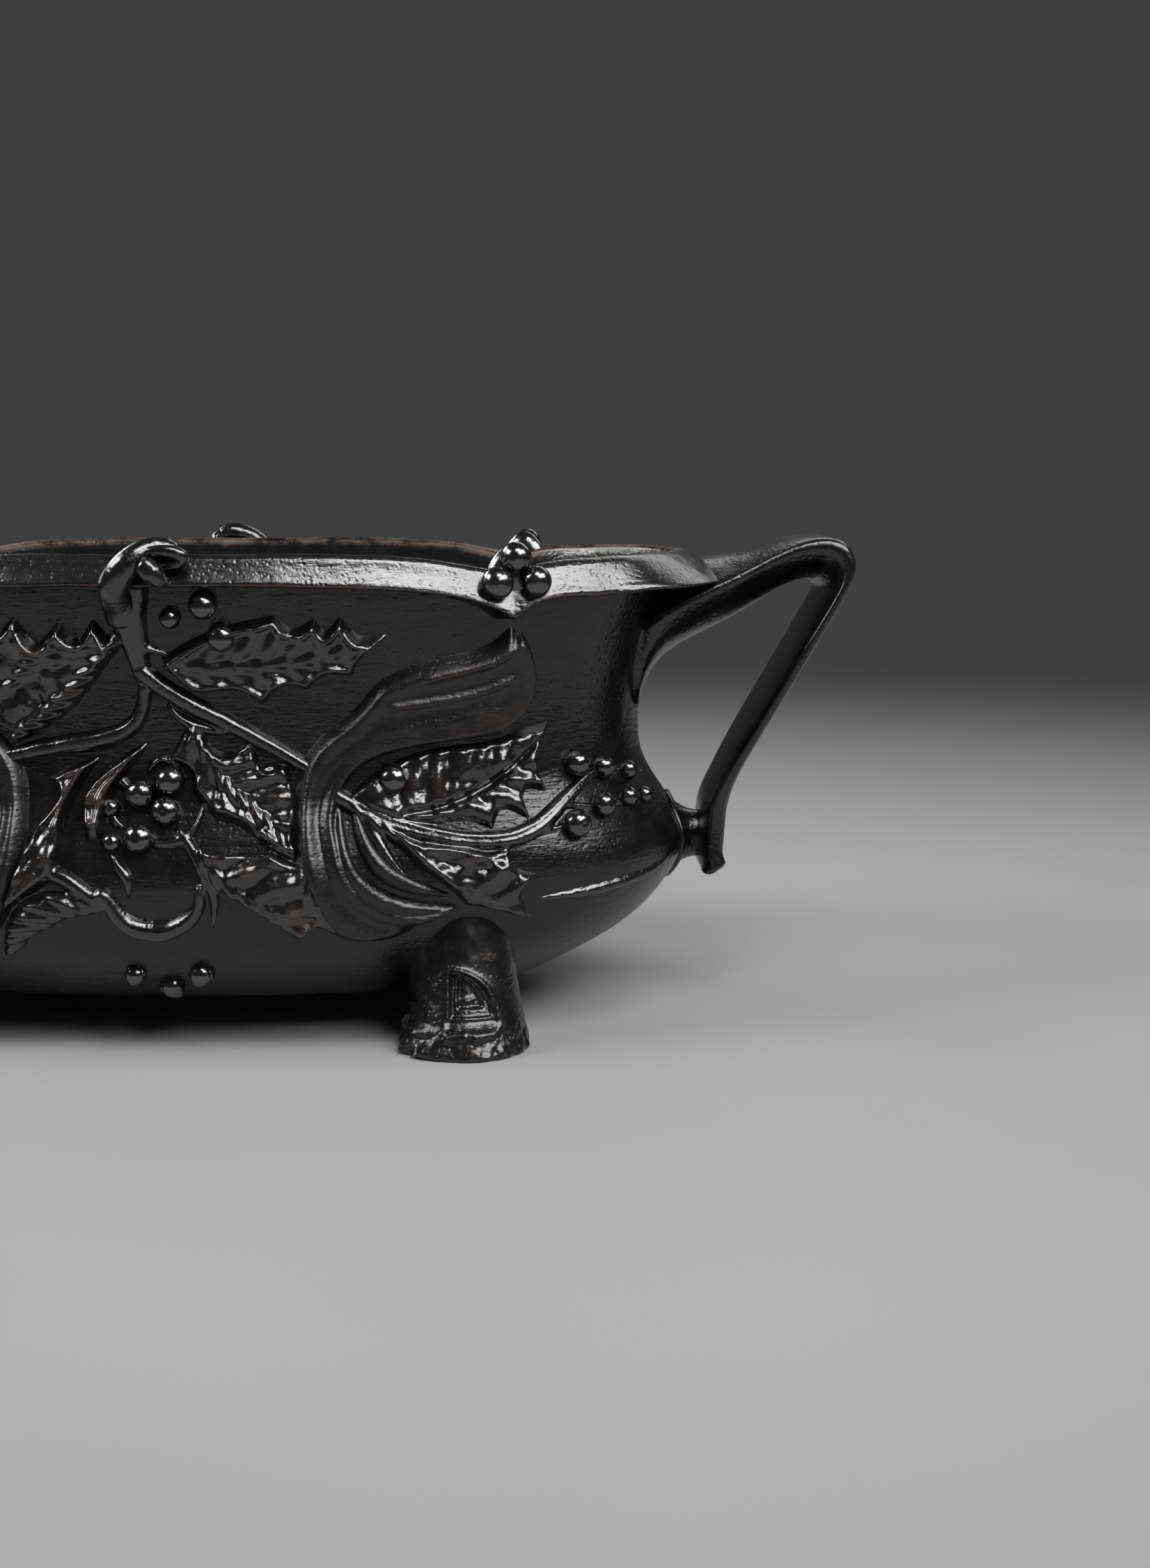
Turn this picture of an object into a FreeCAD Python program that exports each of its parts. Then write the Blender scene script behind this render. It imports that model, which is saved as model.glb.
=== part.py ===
import FreeCAD, Part
import math
import os

import Sketcher

# Cast iron jardiniere with holly relief, strap handles, four feet and a lift-out zinc liner.
# Origin on the floor under the middle, +X along the length, -Y to the front, +Z up, millimetres.

Vector = FreeCAD.Vector

# Driving sizes, kept in the document's sheet
SIZES = {
    # Heights of the wall's lower ovals above the floor
    "base_level": 14,
    "low_level": 30,
    "belly_level": 58,
    # Half length, half depth and end radius of each oval
    "base_half_length": 122,
    "base_half_depth": 64,
    "base_end_radius": 56,
    "low_half_length": 150,
    "low_half_depth": 82,
    "low_end_radius": 70,
    "belly_half_length": 170,
    "belly_half_depth": 90,
    "belly_end_radius": 78,
    "shoulder_half_length": 158.5,
    "shoulder_half_depth": 84.5,
    "shoulder_end_radius": 75,
    "neck_half_length": 153.5,
    "neck_half_depth": 80,
    "neck_end_radius": 72,
    "flare_half_length": 160,
    "flare_half_depth": 82.5,
    "flare_end_radius": 74,
    "collar_half_length": 168,
    "collar_half_depth": 87,
    "collar_end_radius": 78,
    "crown_half_length": 171,
    "crown_half_depth": 88.5,
    "crown_end_radius": 79,
    # Wall and floor
    "wall": 4.5,
    "floor_thickness": 6,
    "low_rise": 3,
    "cut_overrun": 20,
    # Rim lip
    "rim_height": 160,
    "rim_half_length": 174,
    "rim_half_depth": 92,
    "rim_end_radius": 81,
    "lip_lean": 1,
    # Relief
    "strap_relief": 3.4,
    "leaf_relief": 2.6,
    "stem_width": 3.2,
    "branch_width": 4.6,
    "trunk_width": 7,
    "berry_radius": 4.6,
    "berry_stand": 1.2,
    "drop_radius": 4,
    "rim_berry_radius": 5.6,
    "rim_berry_stand": 2.4,
    "curl_stand": 3,
    "curl_depth": 9,
    # Handles
    "handle_reach": 52,
    "handle_thickness": 6,
    "handle_root_width": 92,
    "handle_grip_width": 58,
    "handle_end_width": 44,
    "handle_stub_radius": 8,
    "handle_stand": 12.5,
    # Feet
    "foot_x": 95.5,
    "foot_y": 71.5,
    "foot_radius": 21.5,
    "foot_flange": 9,
    "foot_step": 2,
    "foot_top_x": 93,
    "foot_top_y": 59,
    "foot_top_radius": 16.5,
    "foot_top_drop": 12,
    "foot_sail_radius": 14,
    "foot_sail_depth": 5,
    "foot_sail_shift": 4.7,
    "foot_tongue_width": 22,
    "foot_tongue_thickness": 8,
    # Screws
    "foot_screw_x": 84,
    "foot_screw_y": 34,
    "screw_radius": 3,
    "screw_head_radius": 6,
    "screw_head_height": 3.4,
    "screw_clearance": 0.25,
    "handle_screw_drop": 4,
    "handle_screw_grip": 16,
    # Zinc liner
    "liner_sheet": 1.2,
    "liner_level": 138,
    "liner_neck_gap": 12,
    "liner_floor_gap": 8,
    "liner_wire_radius": 2.4,
    # Lifting rings and their lugs
    "ring_level": 126,
    "ring_radius": 16,
    "ring_corner": 4,
    "ring_wire_radius": 2,
    "ring_clearance": 0.08,
    "lug_reach": 14,
    "lug_wall": 2.2,
    "lug_width": 14,
    "lug_plate_width": 30,
    "lug_plate_height": 20,
    "lug_plate_thickness": 3,
    "rivet_radius": 1.6,
    "rivet_head_radius": 3.2,
    "rivet_head_height": 1.4,
}

# Levels above the belly, as shares of the height from the belly to the rim
LEVEL_SHARES = {
    "shoulder_level": 0.2353,
    "neck_level": 0.451,
    "flare_level": 0.7059,
    "lip_low_level": 0.7451,
    "collar_level": 0.902,
    "crown_level": 1.0392,
}

# Lip outlines, as shares of the rim's half length and height
RIM_TOP_SHARES = [
    (0, 1.000),
    (0.352, 1.000),
    (0.518, 0.988),
    (0.596, 0.972),
    (0.64, 0.966),
    (0.684, 0.974),
    (0.782, 0.988),
    (1.075, 0.992),
]
LIP_MIDDLE_SHARES = [(0, 0.944), (0.293, 0.941), (0.459, 0.931), (0.547, 0.918), (0.596, 0.902)]
LIP_POINT_SHARE = (0.64, 0.878)
LIP_END_SHARES = [(0.684, 0.906), (0.772, 0.919), (0.889, 0.928), (1.075, 0.934)]

# Relief outlines, as shares of the belly's half length and of the rim's height
STRAP_OUTER_SHARES = [
    (0.65, 0.865),
    (0.605, 0.825),
    (0.53, 0.80),
    (0.455, 0.78),
    (0.40, 0.75),
    (0.355, 0.695),
    (0.295, 0.645),
    (0.26, 0.59),
    (0.245, 0.53),
    (0.245, 0.45),
    (0.255, 0.37),
    (0.28, 0.30),
    (0.33, 0.245),
    (0.40, 0.225),
    (0.48, 0.25),
]
STRAP_TIP_SHARE = (0.55, 0.295)
STRAP_INNER_SHARES = [
    (0.45, 0.297),
    (0.385, 0.325),
    (0.35, 0.37),
    (0.33, 0.425),
    (0.322, 0.475),
    (0.335, 0.53),
    (0.365, 0.575),
    (0.41, 0.60),
    (0.475, 0.62),
    (0.55, 0.63),
    (0.63, 0.65),
    (0.675, 0.70),
]
STRAP_TONGUE_SHARE = (0.69, 0.765)

CHEEK_LEAF_SHARES = [
    [
        (0.38, 0.54),
        (0.46, 0.595),
        (0.54, 0.61),
        (0.605, 0.62),
        (0.67, 0.635),
        (0.715, 0.645),
        (0.695, 0.595),
        (0.705, 0.515),
        (0.665, 0.52),
        (0.675, 0.48),
        (0.625, 0.49),
        (0.605, 0.465),
        (0.55, 0.472),
        (0.50, 0.468),
        (0.435, 0.475),
    ],
    [
        (0.425, 0.46),
        (0.50, 0.42),
        (0.555, 0.395),
        (0.605, 0.415),
        (0.66, 0.38),
        (0.69, 0.355),
        (0.675, 0.275),
        (0.605, 0.30),
        (0.53, 0.35),
        (0.475, 0.40),
        (0.44, 0.44),
    ],
]
CHEEK_STEM_SHARES = [
    [
        (0.335, 0.51),
        (0.40, 0.475),
        (0.475, 0.453),
        (0.553, 0.434),
        (0.63, 0.431),
        (0.695, 0.45),
        (0.74, 0.492),
        (0.805, 0.54),
    ],
    [(0.69, 0.31), (0.80, 0.31), (0.87, 0.314), (0.93, 0.32), (0.96, 0.345)],
]
CHEEK_BERRY_SHARES = [
    (0.43, 0.552, 1.08),
    (0.765, 0.565, 0.92),
    (0.818, 0.55, 0.8),
    (0.868, 0.532, 0.7),
    (0.82, 0.476, 0.92),
    (0.868, 0.482, 0.72),
    (0.903, 0.476, 0.6),
    (0.77, 0.448, 1.06),
]

BRANCH_LEAF_SHARES = [
    [
        (0.045, 0.645),
        (0.09, 0.575),
        (0.155, 0.52),
        (0.22, 0.453),
        (0.24, 0.40),
        (0.195, 0.425),
        (0.145, 0.454),
        (0.093, 0.48),
        (0.072, 0.533),
        (0.055, 0.585),
    ],
    [
        (-0.05, 0.605),
        (-0.085, 0.55),
        (-0.11, 0.475),
        (-0.16, 0.425),
        (-0.18, 0.46),
        (-0.14, 0.525),
        (-0.095, 0.58),
    ],
    [
        (0.0, 0.795),
        (0.11, 0.845),
        (0.22, 0.872),
        (0.29, 0.862),
        (0.33, 0.868),
        (0.40, 0.835),
        (0.35, 0.775),
        (0.27, 0.75),
        (0.195, 0.723),
        (0.093, 0.724),
        (0.03, 0.765),
    ],
    [
        (-0.09, 0.815),
        (-0.115, 0.862),
        (-0.16, 0.842),
        (-0.21, 0.841),
        (-0.245, 0.862),
        (-0.30, 0.855),
        (-0.33, 0.77),
        (-0.30, 0.665),
        (-0.22, 0.68),
        (-0.165, 0.723),
    ],
    [
        (0.08, 0.40),
        (0.135, 0.415),
        (0.222, 0.394),
        (0.24, 0.345),
        (0.235, 0.29),
        (0.215, 0.262),
        (0.155, 0.30),
        (0.105, 0.353),
    ],
    [(-0.235, 0.255), (-0.235, 0.295), (-0.18, 0.319), (-0.12, 0.313), (-0.13, 0.288), (-0.19, 0.275)],
]
TRUNK_SHARES = [(-0.038, 0.90), (-0.041, 0.835), (-0.03, 0.74), (-0.02, 0.67)]
BRANCH_STEM_SHARES = [
    [(-0.02, 0.765), (0.04, 0.717), (0.117, 0.675), (0.18, 0.638), (0.25, 0.59)],
    [(-0.02, 0.70), (-0.045, 0.67), (-0.105, 0.64), (-0.18, 0.626), (-0.255, 0.608)],
    [
        (-0.11, 0.325),
        (-0.08, 0.30),
        (-0.053, 0.272),
        (-0.003, 0.264),
        (0.045, 0.28),
        (0.08, 0.317),
        (0.092, 0.374),
        (0.065, 0.43),
    ],
]
BRANCH_BERRY_SHARES = [
    (-0.037, 0.527, 1.08),
    (0.018, 0.554, 1.08),
    (0.012, 0.494, 1.04),
    (-0.035, 0.444, 1.08),
    (-0.086, 0.438, 0.65),
    (-0.091, 0.50, 0.7),
    (0.095, 0.908, 1.0),
    (0.033, 0.88, 0.7),
    (0.123, 0.845, 1.0),
]
STEM_TAPER_SHARE = 0.75
TRUNK_TAPER_SHARE = 0.6
DROP_BERRY_SHARES = [(-0.059, 0.165, 0.95), (0.0, 0.135, 1.1), (0.059, 0.165, 1.0)]
# What stands on the rim, as shares of the rim's half length and height
RIM_BERRY_SHARES = [(0.613, 0.948, 1.0), (0.681, 0.953, 1.0), (0.645, 0.998, 1.05)]
CURL_SHARES = [
    (-0.086, 0.915),
    (-0.064, 0.915),
    (-0.02, 0.955),
    (0.034, 0.95),
    (0.054, 0.985),
    (0.044, 1.01),
    (0, 1.022),
    (-0.049, 1.0),
    (-0.078, 0.955),
]

# Handle outline: reach as shares from the rim's end, heights as shares of the rim's height
HANDLE_TOP_SHARES = [
    (-0.06, 0.978),
    (0.23, 0.985),
    (0.45, 1.005),
    (0.67, 1.018),
    (0.86, 1.016),
    (0.96, 0.994),
    (1.00, 0.954),
    (0.96, 0.903),
]
# Lower end of the handle: shares of the stand-off from the belly's nose and of the rim's height
HANDLE_END_SHARES = [(0.98, 0.10), (0.96, -0.02)]
HANDLE_TAIL_SHARE = (0.55, -0.062)
HANDLE_ROOT_SHARES = [(0.80, 0.954), (0.62, 0.942), (0.31, 0.895), (-0.05, 0.845), (-0.27, 0.79)]

doc = FreeCAD.newDocument("planter")


def make_sheet():
    sheet = doc.addObject("Spreadsheet::Sheet", "sizes")
    levels = {}
    for alias, share in LEVEL_SHARES.items():
        levels[alias] = f"=belly_level + (rim_height - belly_level) * {share}"
    for row, (alias, value) in enumerate({**SIZES, **levels}.items(), start=1):
        sheet.set(f"A{row}", alias)
        sheet.set(f"B{row}", str(value))
        sheet.setAlias(f"B{row}", alias)
    doc.recompute()
    return sheet


sheet = make_sheet()


def size(alias):
    return float(sheet.get(alias))


def worth(expression):
    """Value of an expression on the sheet's sizes."""
    value = sheet.evalExpression(expression)
    return float(getattr(value, "Value", value))


def origin_plane(body, role):
    for feature in body.Origin.OriginFeatures:
        if feature.Role == role:
            return feature
    raise ValueError(role)


def oval_sketch(body, name, level, half_length, half_depth, end_radius):
    """Oval of four tangent arcs on the body's ground plane; every argument is an expression."""
    sketch = body.newObject("Sketcher::SketchObject", name)
    sketch.AttachmentSupport = (origin_plane(body, "XY_Plane"), [""])
    sketch.MapMode = "FlatFace"
    sketch.setExpression("AttachmentOffset.Base.z", level)

    end_centre = f"(({half_length}) - ({end_radius}))"
    side = f"({end_centre}^2 + ({half_depth})^2 - ({end_radius})^2)"
    side_radius = f"({side} / (2 * (({half_depth}) - ({end_radius}))))"
    centre = worth(end_centre)
    small = worth(end_radius)
    large = worth(side_radius)
    drop = large - worth(half_depth)
    turn = math.atan2(drop, centre)

    arcs = [
        (Vector(centre, 0, 0), small, -turn, turn),
        (Vector(0, -drop, 0), large, turn, math.pi - turn),
        (Vector(-centre, 0, 0), small, math.pi - turn, math.pi + turn),
        (Vector(0, drop, 0), large, math.pi + turn, 2 * math.pi - turn),
    ]
    for middle, radius, start, end in arcs:
        circle = Part.Circle(middle, Vector(0, 0, 1), radius)
        sketch.addGeometry(Part.ArcOfCircle(circle, start, end), False)
    for index in range(4):
        sketch.addConstraint(Sketcher.Constraint("Tangent", index, 2, (index + 1) % 4, 1))
    for index in (0, 2):
        sketch.addConstraint(Sketcher.Constraint("PointOnObject", index, 3, -1))
    sketch.addConstraint(Sketcher.Constraint("Equal", 0, 2))
    sketch.addConstraint(Sketcher.Constraint("Equal", 1, 3))

    bound = [
        (Sketcher.Constraint("Radius", 0, small), end_radius),
        (Sketcher.Constraint("Radius", 1, large), side_radius),
        (Sketcher.Constraint("DistanceX", -1, 1, 0, 3, centre), end_centre),
        (Sketcher.Constraint("DistanceX", 2, 3, -1, 1, centre), end_centre),
    ]
    for constraint, expression in bound:
        index = sketch.addConstraint(constraint)
        sketch.setExpression(f"Constraints[{index}]", expression)
    return sketch


def oval_loft(name, ovals, ruled=False):
    """Body lofted through ovals, each given by four expressions."""
    body = doc.addObject("PartDesign::Body", name)
    sketches = []
    for index, oval in enumerate(ovals):
        sketches.append(oval_sketch(body, f"{name}_oval_{index}", *oval))
    doc.recompute()
    loft = body.newObject("PartDesign::AdditiveLoft", f"{name}_loft")
    loft.Profile = sketches[0]
    loft.Sections = sketches[1:]
    loft.Ruled = ruled
    body.Tip = loft
    doc.recompute()
    return body


WALL_LEVELS = ["base", "low", "belly", "shoulder", "neck", "flare", "collar", "crown"]
OVAL_SIDES = ["half_length", "half_depth", "end_radius"]


def wall_ovals(growth):
    """Ovals of the outer wall, grown outwards by an expression."""
    ovals = []
    for level in WALL_LEVELS:
        sides = [f"sizes.{level}_{side} + {growth}" for side in OVAL_SIDES]
        ovals.append((f"sizes.{level}_level", *sides))
    return ovals


def cavity_ovals():
    """Ovals of the bowl's inside: the wall's thickness inside the outer ones, over the floor."""
    ovals = wall_ovals("0 - sizes.wall")
    rises = {0: "sizes.floor_thickness", 1: "sizes.low_rise", len(ovals) - 1: "sizes.cut_overrun"}
    for index, rise in rises.items():
        level, *sides = ovals[index]
        ovals[index] = (f"{level} + {rise}", *sides)
    return ovals


def cut(name, base, *tools):
    for index, tool in enumerate(tools):
        result = doc.addObject("Part::Cut", f"{name}_cut_{index}")
        result.Base = base
        result.Tool = tool
        base = result
    base.Label = name
    doc.recompute()
    return base


def common(name, base, tool):
    result = doc.addObject("Part::Common", name)
    result.Base = base
    result.Tool = tool
    doc.recompute()
    return result


def fuse(name, pieces):
    if len(pieces) == 1:
        return pieces[0]
    result = doc.addObject("Part::MultiFuse", name)
    result.Shapes = pieces
    doc.recompute()
    return result


def group(name, pieces):
    result = doc.addObject("Part::Compound", name)
    result.Links = pieces
    doc.recompute()
    return result


def solid(name, shape):
    result = doc.addObject("Part::Feature", name)
    result.Shape = shape
    return result


def mirrored(name, source, *normals):
    for index, normal in enumerate(normals):
        result = doc.addObject("Part::Mirroring", f"{name}_mirror_{index}")
        result.Source = source
        result.Normal = normal
        source = result
    source.Label = name
    doc.recompute()
    return source


ACROSS = Vector(1, 0, 0)
ALONG_DEPTH = Vector(0, 1, 0)
UP = Vector(0, 0, 1)


def prism(name, faces, direction, length, start=None):
    """Faces pushed out along a direction; without a start the prism is symmetric."""
    outline = solid(f"{name}_outline", Part.makeCompound(faces))
    result = doc.addObject("Part::Extrusion", name)
    result.Base = outline
    result.DirMode = "Custom"
    result.Dir = direction
    result.Solid = True
    result.Symmetric = start is None
    result.setExpression("LengthFwd", length)
    if start is not None:
        result.setExpression("Placement.Base.y", start)
    doc.recompute()
    return result


def place(share):
    """Place on the wall in the front elevation."""
    return Vector(share[0] * size("belly_half_length"), 0, share[1] * size("rim_height"))


def rim_place(share):
    """Place on the rim in the front elevation."""
    return Vector(share[0] * size("rim_half_length"), 0, share[1] * size("rim_height"))


def curve(points, start_run=None, end_run=None):
    """Smooth line through points, with the run at both ends where it has to join a straight."""
    spline = Part.BSplineCurve()
    if start_run is None:
        spline.interpolate(points)
    else:
        runs = [Vector(run).normalize() for run in (start_run, end_run)]
        spline.interpolate(Points=points, InitialTangent=runs[0], FinalTangent=runs[1])
    return spline.toShape()


def loop_face(edges):
    return Part.Face(Part.Wire(edges))


def polygon_face(points):
    return Part.Face(Part.makePolygon(points + points[:1]))


def stem_face(shares, width, taper_share):
    """Strip of a tapering width round a curved line in the front elevation."""
    spline = Part.BSplineCurve()
    spline.interpolate([place(share) for share in shares])
    left = []
    right = []
    steps = 2 * len(shares)
    for step in range(steps + 1):
        part = step / steps
        parameter = spline.FirstParameter + part * (spline.LastParameter - spline.FirstParameter)
        tangent = spline.tangent(parameter)[0]
        side = Vector(tangent.z, 0, -tangent.x)
        reach = side * (width / 2 * (1 - part * (1 - taper_share)))
        left.append(spline.value(parameter) + reach)
        right.append(spline.value(parameter) - reach)
    right.reverse()
    ends = [Part.makeLine(left[-1], right[0]), Part.makeLine(right[-1], left[0])]
    return loop_face([curve(left), ends[0], curve(right), ends[1]])


def front_depth(shape, point):
    """Y of a shape's front surface at a point of the front elevation."""
    far = point + Vector(0, -2 * size("rim_half_depth"), 0)
    ray = Part.makeLine(far, point)
    return min(vertex.Y for vertex in shape.common(ray).Vertexes)


def berry_balls(shape, points, radii, stand):
    """Balls seated in the front surface of a shape."""
    balls = []
    for point, radius in zip(points, radii):
        middle = Vector(point.x, front_depth(shape, point) - stand, point.z)
        balls.append(Part.makeSphere(radius, middle, ALONG_DEPTH))
    return balls


nodes = {}

# Forms that the pieces are cut from
outer_form = oval_loft("outer_form", wall_ovals("0"))
cavity_form = oval_loft("cavity_form", cavity_ovals())
strap_form = oval_loft("strap_form", wall_ovals("sizes.strap_relief"))
leaf_form = oval_loft("leaf_form", wall_ovals("sizes.leaf_relief"))
lip_form = oval_loft(
    "lip_form",
    [
        (
            "sizes.lip_low_level",
            "sizes.rim_half_length + sizes.lip_lean",
            "sizes.rim_half_depth + sizes.lip_lean",
            "sizes.rim_end_radius + sizes.lip_lean",
        ),
        (
            "sizes.crown_level + sizes.cut_overrun",
            "sizes.rim_half_length - sizes.lip_lean",
            "sizes.rim_half_depth - sizes.lip_lean",
            "sizes.rim_end_radius - sizes.lip_lean",
        ),
    ],
    ruled=True,
)


def both_ways(shares):
    """Points from the left end to the right end of a line given from the middle outwards."""
    right = [rim_place(share) for share in shares]
    left = [Vector(-point.x, point.y, point.z) for point in reversed(right)]
    return left[:-1] + right if shares[0][0] == 0 else left + right


def rim_prisms():
    """The space above the rim's wavy edge, and the band that the lip keeps."""
    top_points = both_ways(RIM_TOP_SHARES)
    top = curve(top_points)
    ceiling = size("crown_level") + 2 * size("cut_overrun")
    roof = [Vector(point.x, 0, ceiling) for point in (top_points[-1], top_points[0])]
    above = Part.makePolygon([top_points[-1], *roof, top_points[0]])
    above_face = loop_face([top, *above.Edges])

    middle_points = both_ways(LIP_MIDDLE_SHARES + [LIP_POINT_SHARE])
    end_points = [rim_place(share) for share in [LIP_POINT_SHARE] + LIP_END_SHARES]
    left_points = [Vector(-point.x, 0, point.z) for point in reversed(end_points)]
    sides = [
        Part.makeLine(end_points[-1], top_points[-1]),
        Part.makeLine(top_points[0], left_points[0]),
    ]
    lower = [curve(left_points), curve(middle_points), curve(end_points)]
    band_face = loop_face([*lower, sides[0], top, sides[1]])
    depth = "4 * sizes.rim_half_depth"
    above_prism = prism("above_rim", [above_face], ALONG_DEPTH, depth)
    band_prism = prism("rim_band", [band_face], ALONG_DEPTH, depth)
    return above_prism, band_prism


above_rim, rim_band = rim_prisms()
rim_lip = cut("rim_lip", common("lip_band", lip_form, rim_band), outer_form)
nodes["rim_lip"] = rim_lip


# Handles
def handle_points():
    """Outline of the right handle in the end elevation, outside first, then back along the inside."""
    rim_end = size("rim_half_length")
    reach = size("handle_reach")
    height = size("rim_height")
    nose = size("belly_half_length")
    stand = size("handle_stand")
    belly = size("belly_level")
    top = [Vector(rim_end + x * reach, 0, z * height) for x, z in HANDLE_TOP_SHARES]
    end = [Vector(nose + x * stand, 0, belly + z * height) for x, z in HANDLE_END_SHARES]
    tail = Vector(nose + HANDLE_TAIL_SHARE[0] * stand, 0, belly + HANDLE_TAIL_SHARE[1] * height)
    root = [Vector(rim_end + x * reach, 0, z * height) for x, z in HANDLE_ROOT_SHARES]
    return top, end, tail, root


def handle_elevation():
    top, end, tail, root = handle_points()
    thickness = size("handle_thickness")
    run = (end[0] - top[-1]).normalize()
    inward = Vector(run.z, 0, -run.x)
    inner_top = top[-1] + inward * thickness
    inner_end = [end[0] + inward * thickness, end[1] + Vector(-thickness, 0, 0)]
    edges = [
        curve(top, ACROSS, run),
        Part.makeLine(top[-1], end[0]),
        curve(end + [tail], run, inward + run),
        curve([tail, inner_end[1], inner_end[0]], Vector(0, 0, 1), -run),
        Part.makeLine(inner_end[0], inner_top),
        curve([inner_top] + root),
        Part.makeLine(root[-1], top[0]),
    ]
    return loop_face(edges)


def handle_plan():
    """Plan of the right handle: wide at the root, slimmer at the grip."""
    start = size("neck_half_length") - size("handle_root_width") / 2
    rim_end = size("rim_half_length")
    tip = rim_end + 2 * size("handle_reach")
    root = size("handle_root_width") / 2
    grip = size("handle_grip_width") / 2
    waist = rim_end + size("handle_reach") / 2
    half = [Vector(start, root, 0), Vector(rim_end, root, 0), Vector(waist, grip, 0), Vector(tip, grip, 0)]
    other = [Vector(point.x, -point.y, 0) for point in reversed(half)]
    return polygon_face(half + other)


def handle_end_view():
    """End view of the right handle: narrow at the lower end, wider up to the rim."""
    end = size("handle_end_width") / 2
    grip = size("handle_grip_width") / 2
    root = size("handle_root_width") / 2
    levels = [0.0, size("belly_level"), size("flare_level"), size("collar_level"), 2 * size("rim_height")]
    widths = [end, end, grip, root, root]
    half = [Vector(0, width, level) for width, level in zip(widths, levels)]
    other = [Vector(0, -point.y, point.z) for point in reversed(half)]
    return polygon_face(half + other)


def make_handle():
    strap = prism("handle_strap", [handle_elevation()], ALONG_DEPTH, "2 * sizes.handle_root_width")
    plan = prism("handle_plan", [handle_plan()], UP, "4 * sizes.rim_height")
    end_view = prism("handle_end_view", [handle_end_view()], ACROSS, "6 * sizes.rim_half_length")
    shaped = common("handle_shaped", common("handle_tapered", strap, plan), end_view)
    stub = doc.addObject("Part::Cylinder", "handle_stub")
    stub.setExpression("Radius", "sizes.handle_stub_radius")
    stub.setExpression("Height", "sizes.handle_stand + sizes.wall - sizes.handle_thickness / 2")
    stub.Placement = FreeCAD.Placement(Vector(0, 0, 0), FreeCAD.Rotation(ALONG_DEPTH, 90))
    stub.setExpression("Placement.Base.x", "sizes.belly_half_length - sizes.wall")
    stub.setExpression("Placement.Base.z", "sizes.belly_level")
    return fuse("handle_whole", [shaped, stub])


# Screws
def rod(name, radius, height, axis, base):
    """Round bar from expressions: along X when the axis is ACROSS, else upright."""
    bar = doc.addObject("Part::Cylinder", name)
    bar.setExpression("Radius", radius)
    bar.setExpression("Height", height)
    if axis == ACROSS:
        bar.Placement = FreeCAD.Placement(Vector(0, 0, 0), FreeCAD.Rotation(ALONG_DEPTH, 90))
    for letter, expression in zip("xyz", base):
        bar.setExpression(f"Placement.Base.{letter}", expression)
    return bar


# Each handle screw: its level, and the wall's half length there
HANDLE_SCREWS = {
    "upper": (
        "sizes.collar_level - sizes.handle_screw_drop",
        "sizes.collar_half_length - sizes.handle_screw_drop / 2",
    ),
    "lower": ("sizes.belly_level", "sizes.belly_half_length"),
}


def handle_screw_pieces(place_name):
    level, reach = HANDLE_SCREWS[place_name]
    inside = f"{reach} - sizes.wall - sizes.screw_head_height"
    grip = "sizes.screw_head_height + sizes.wall + sizes.handle_screw_grip"
    if place_name == "lower":
        grip = "sizes.screw_head_height + sizes.wall + sizes.handle_stand / 2"
    name = f"handle_screw_{place_name}"
    base = (inside, "0", level)
    hole_radius = "sizes.screw_radius + sizes.screw_clearance"
    head_height = "sizes.screw_head_height + sizes.wall / 2"
    shank = rod(f"{name}_shank", "sizes.screw_radius", grip, ACROSS, base)
    hole = rod(f"{name}_hole", hole_radius, grip, ACROSS, base)
    head = rod(f"{name}_head", "sizes.screw_head_radius", head_height, ACROSS, base)
    return shank, hole, head


def foot_screw_pieces():
    middle = ("sizes.foot_screw_x", "0 - sizes.foot_screw_y")
    low = "sizes.base_level - sizes.foot_tongue_thickness"
    floor_top = "sizes.base_level + sizes.floor_thickness"
    length = "sizes.foot_tongue_thickness + sizes.floor_thickness"
    shank = rod("foot_screw_shank", "sizes.screw_radius", length, UP, (*middle, low))
    hole = rod("foot_screw_hole", "sizes.screw_radius + sizes.screw_clearance", length, UP, (*middle, low))
    head_base = (*middle, f"{floor_top} - sizes.screw_head_height")
    head = rod("foot_screw_head", "sizes.screw_head_radius", "sizes.screw_head_height", UP, head_base)
    seat = rod(
        "foot_screw_seat",
        "sizes.screw_head_radius + sizes.screw_clearance",
        "sizes.screw_head_height + sizes.cut_overrun",
        UP,
        head_base,
    )
    return shank, hole, head, seat


upper_shank, upper_hole, upper_head = handle_screw_pieces("upper")
lower_shank, lower_hole, lower_head = handle_screw_pieces("lower")
foot_shank, foot_hole, foot_head, foot_seat = foot_screw_pieces()
doc.recompute()

# The bowl
front_right_holes = fuse("foot_hole_right", [foot_hole, foot_seat])
right_holes = fuse("holes_right", [upper_hole, lower_hole, front_right_holes])
shell_holes = [
    right_holes,
    mirrored("holes_left", right_holes, ACROSS),
    mirrored("foot_hole_back_right", front_right_holes, ALONG_DEPTH),
    mirrored("foot_hole_back_left", front_right_holes, ALONG_DEPTH, ACROSS),
]
body_shell = cut("body_shell", outer_form, cavity_form, above_rim, fuse("shell_holes", shell_holes))
nodes["body_shell"] = body_shell

right_handle = cut("right_handle", make_handle(), outer_form, rim_lip, upper_shank, lower_shank)
nodes["right_handle"] = right_handle
nodes["left_handle"] = mirrored("left_handle", right_handle, ACROSS)

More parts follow.
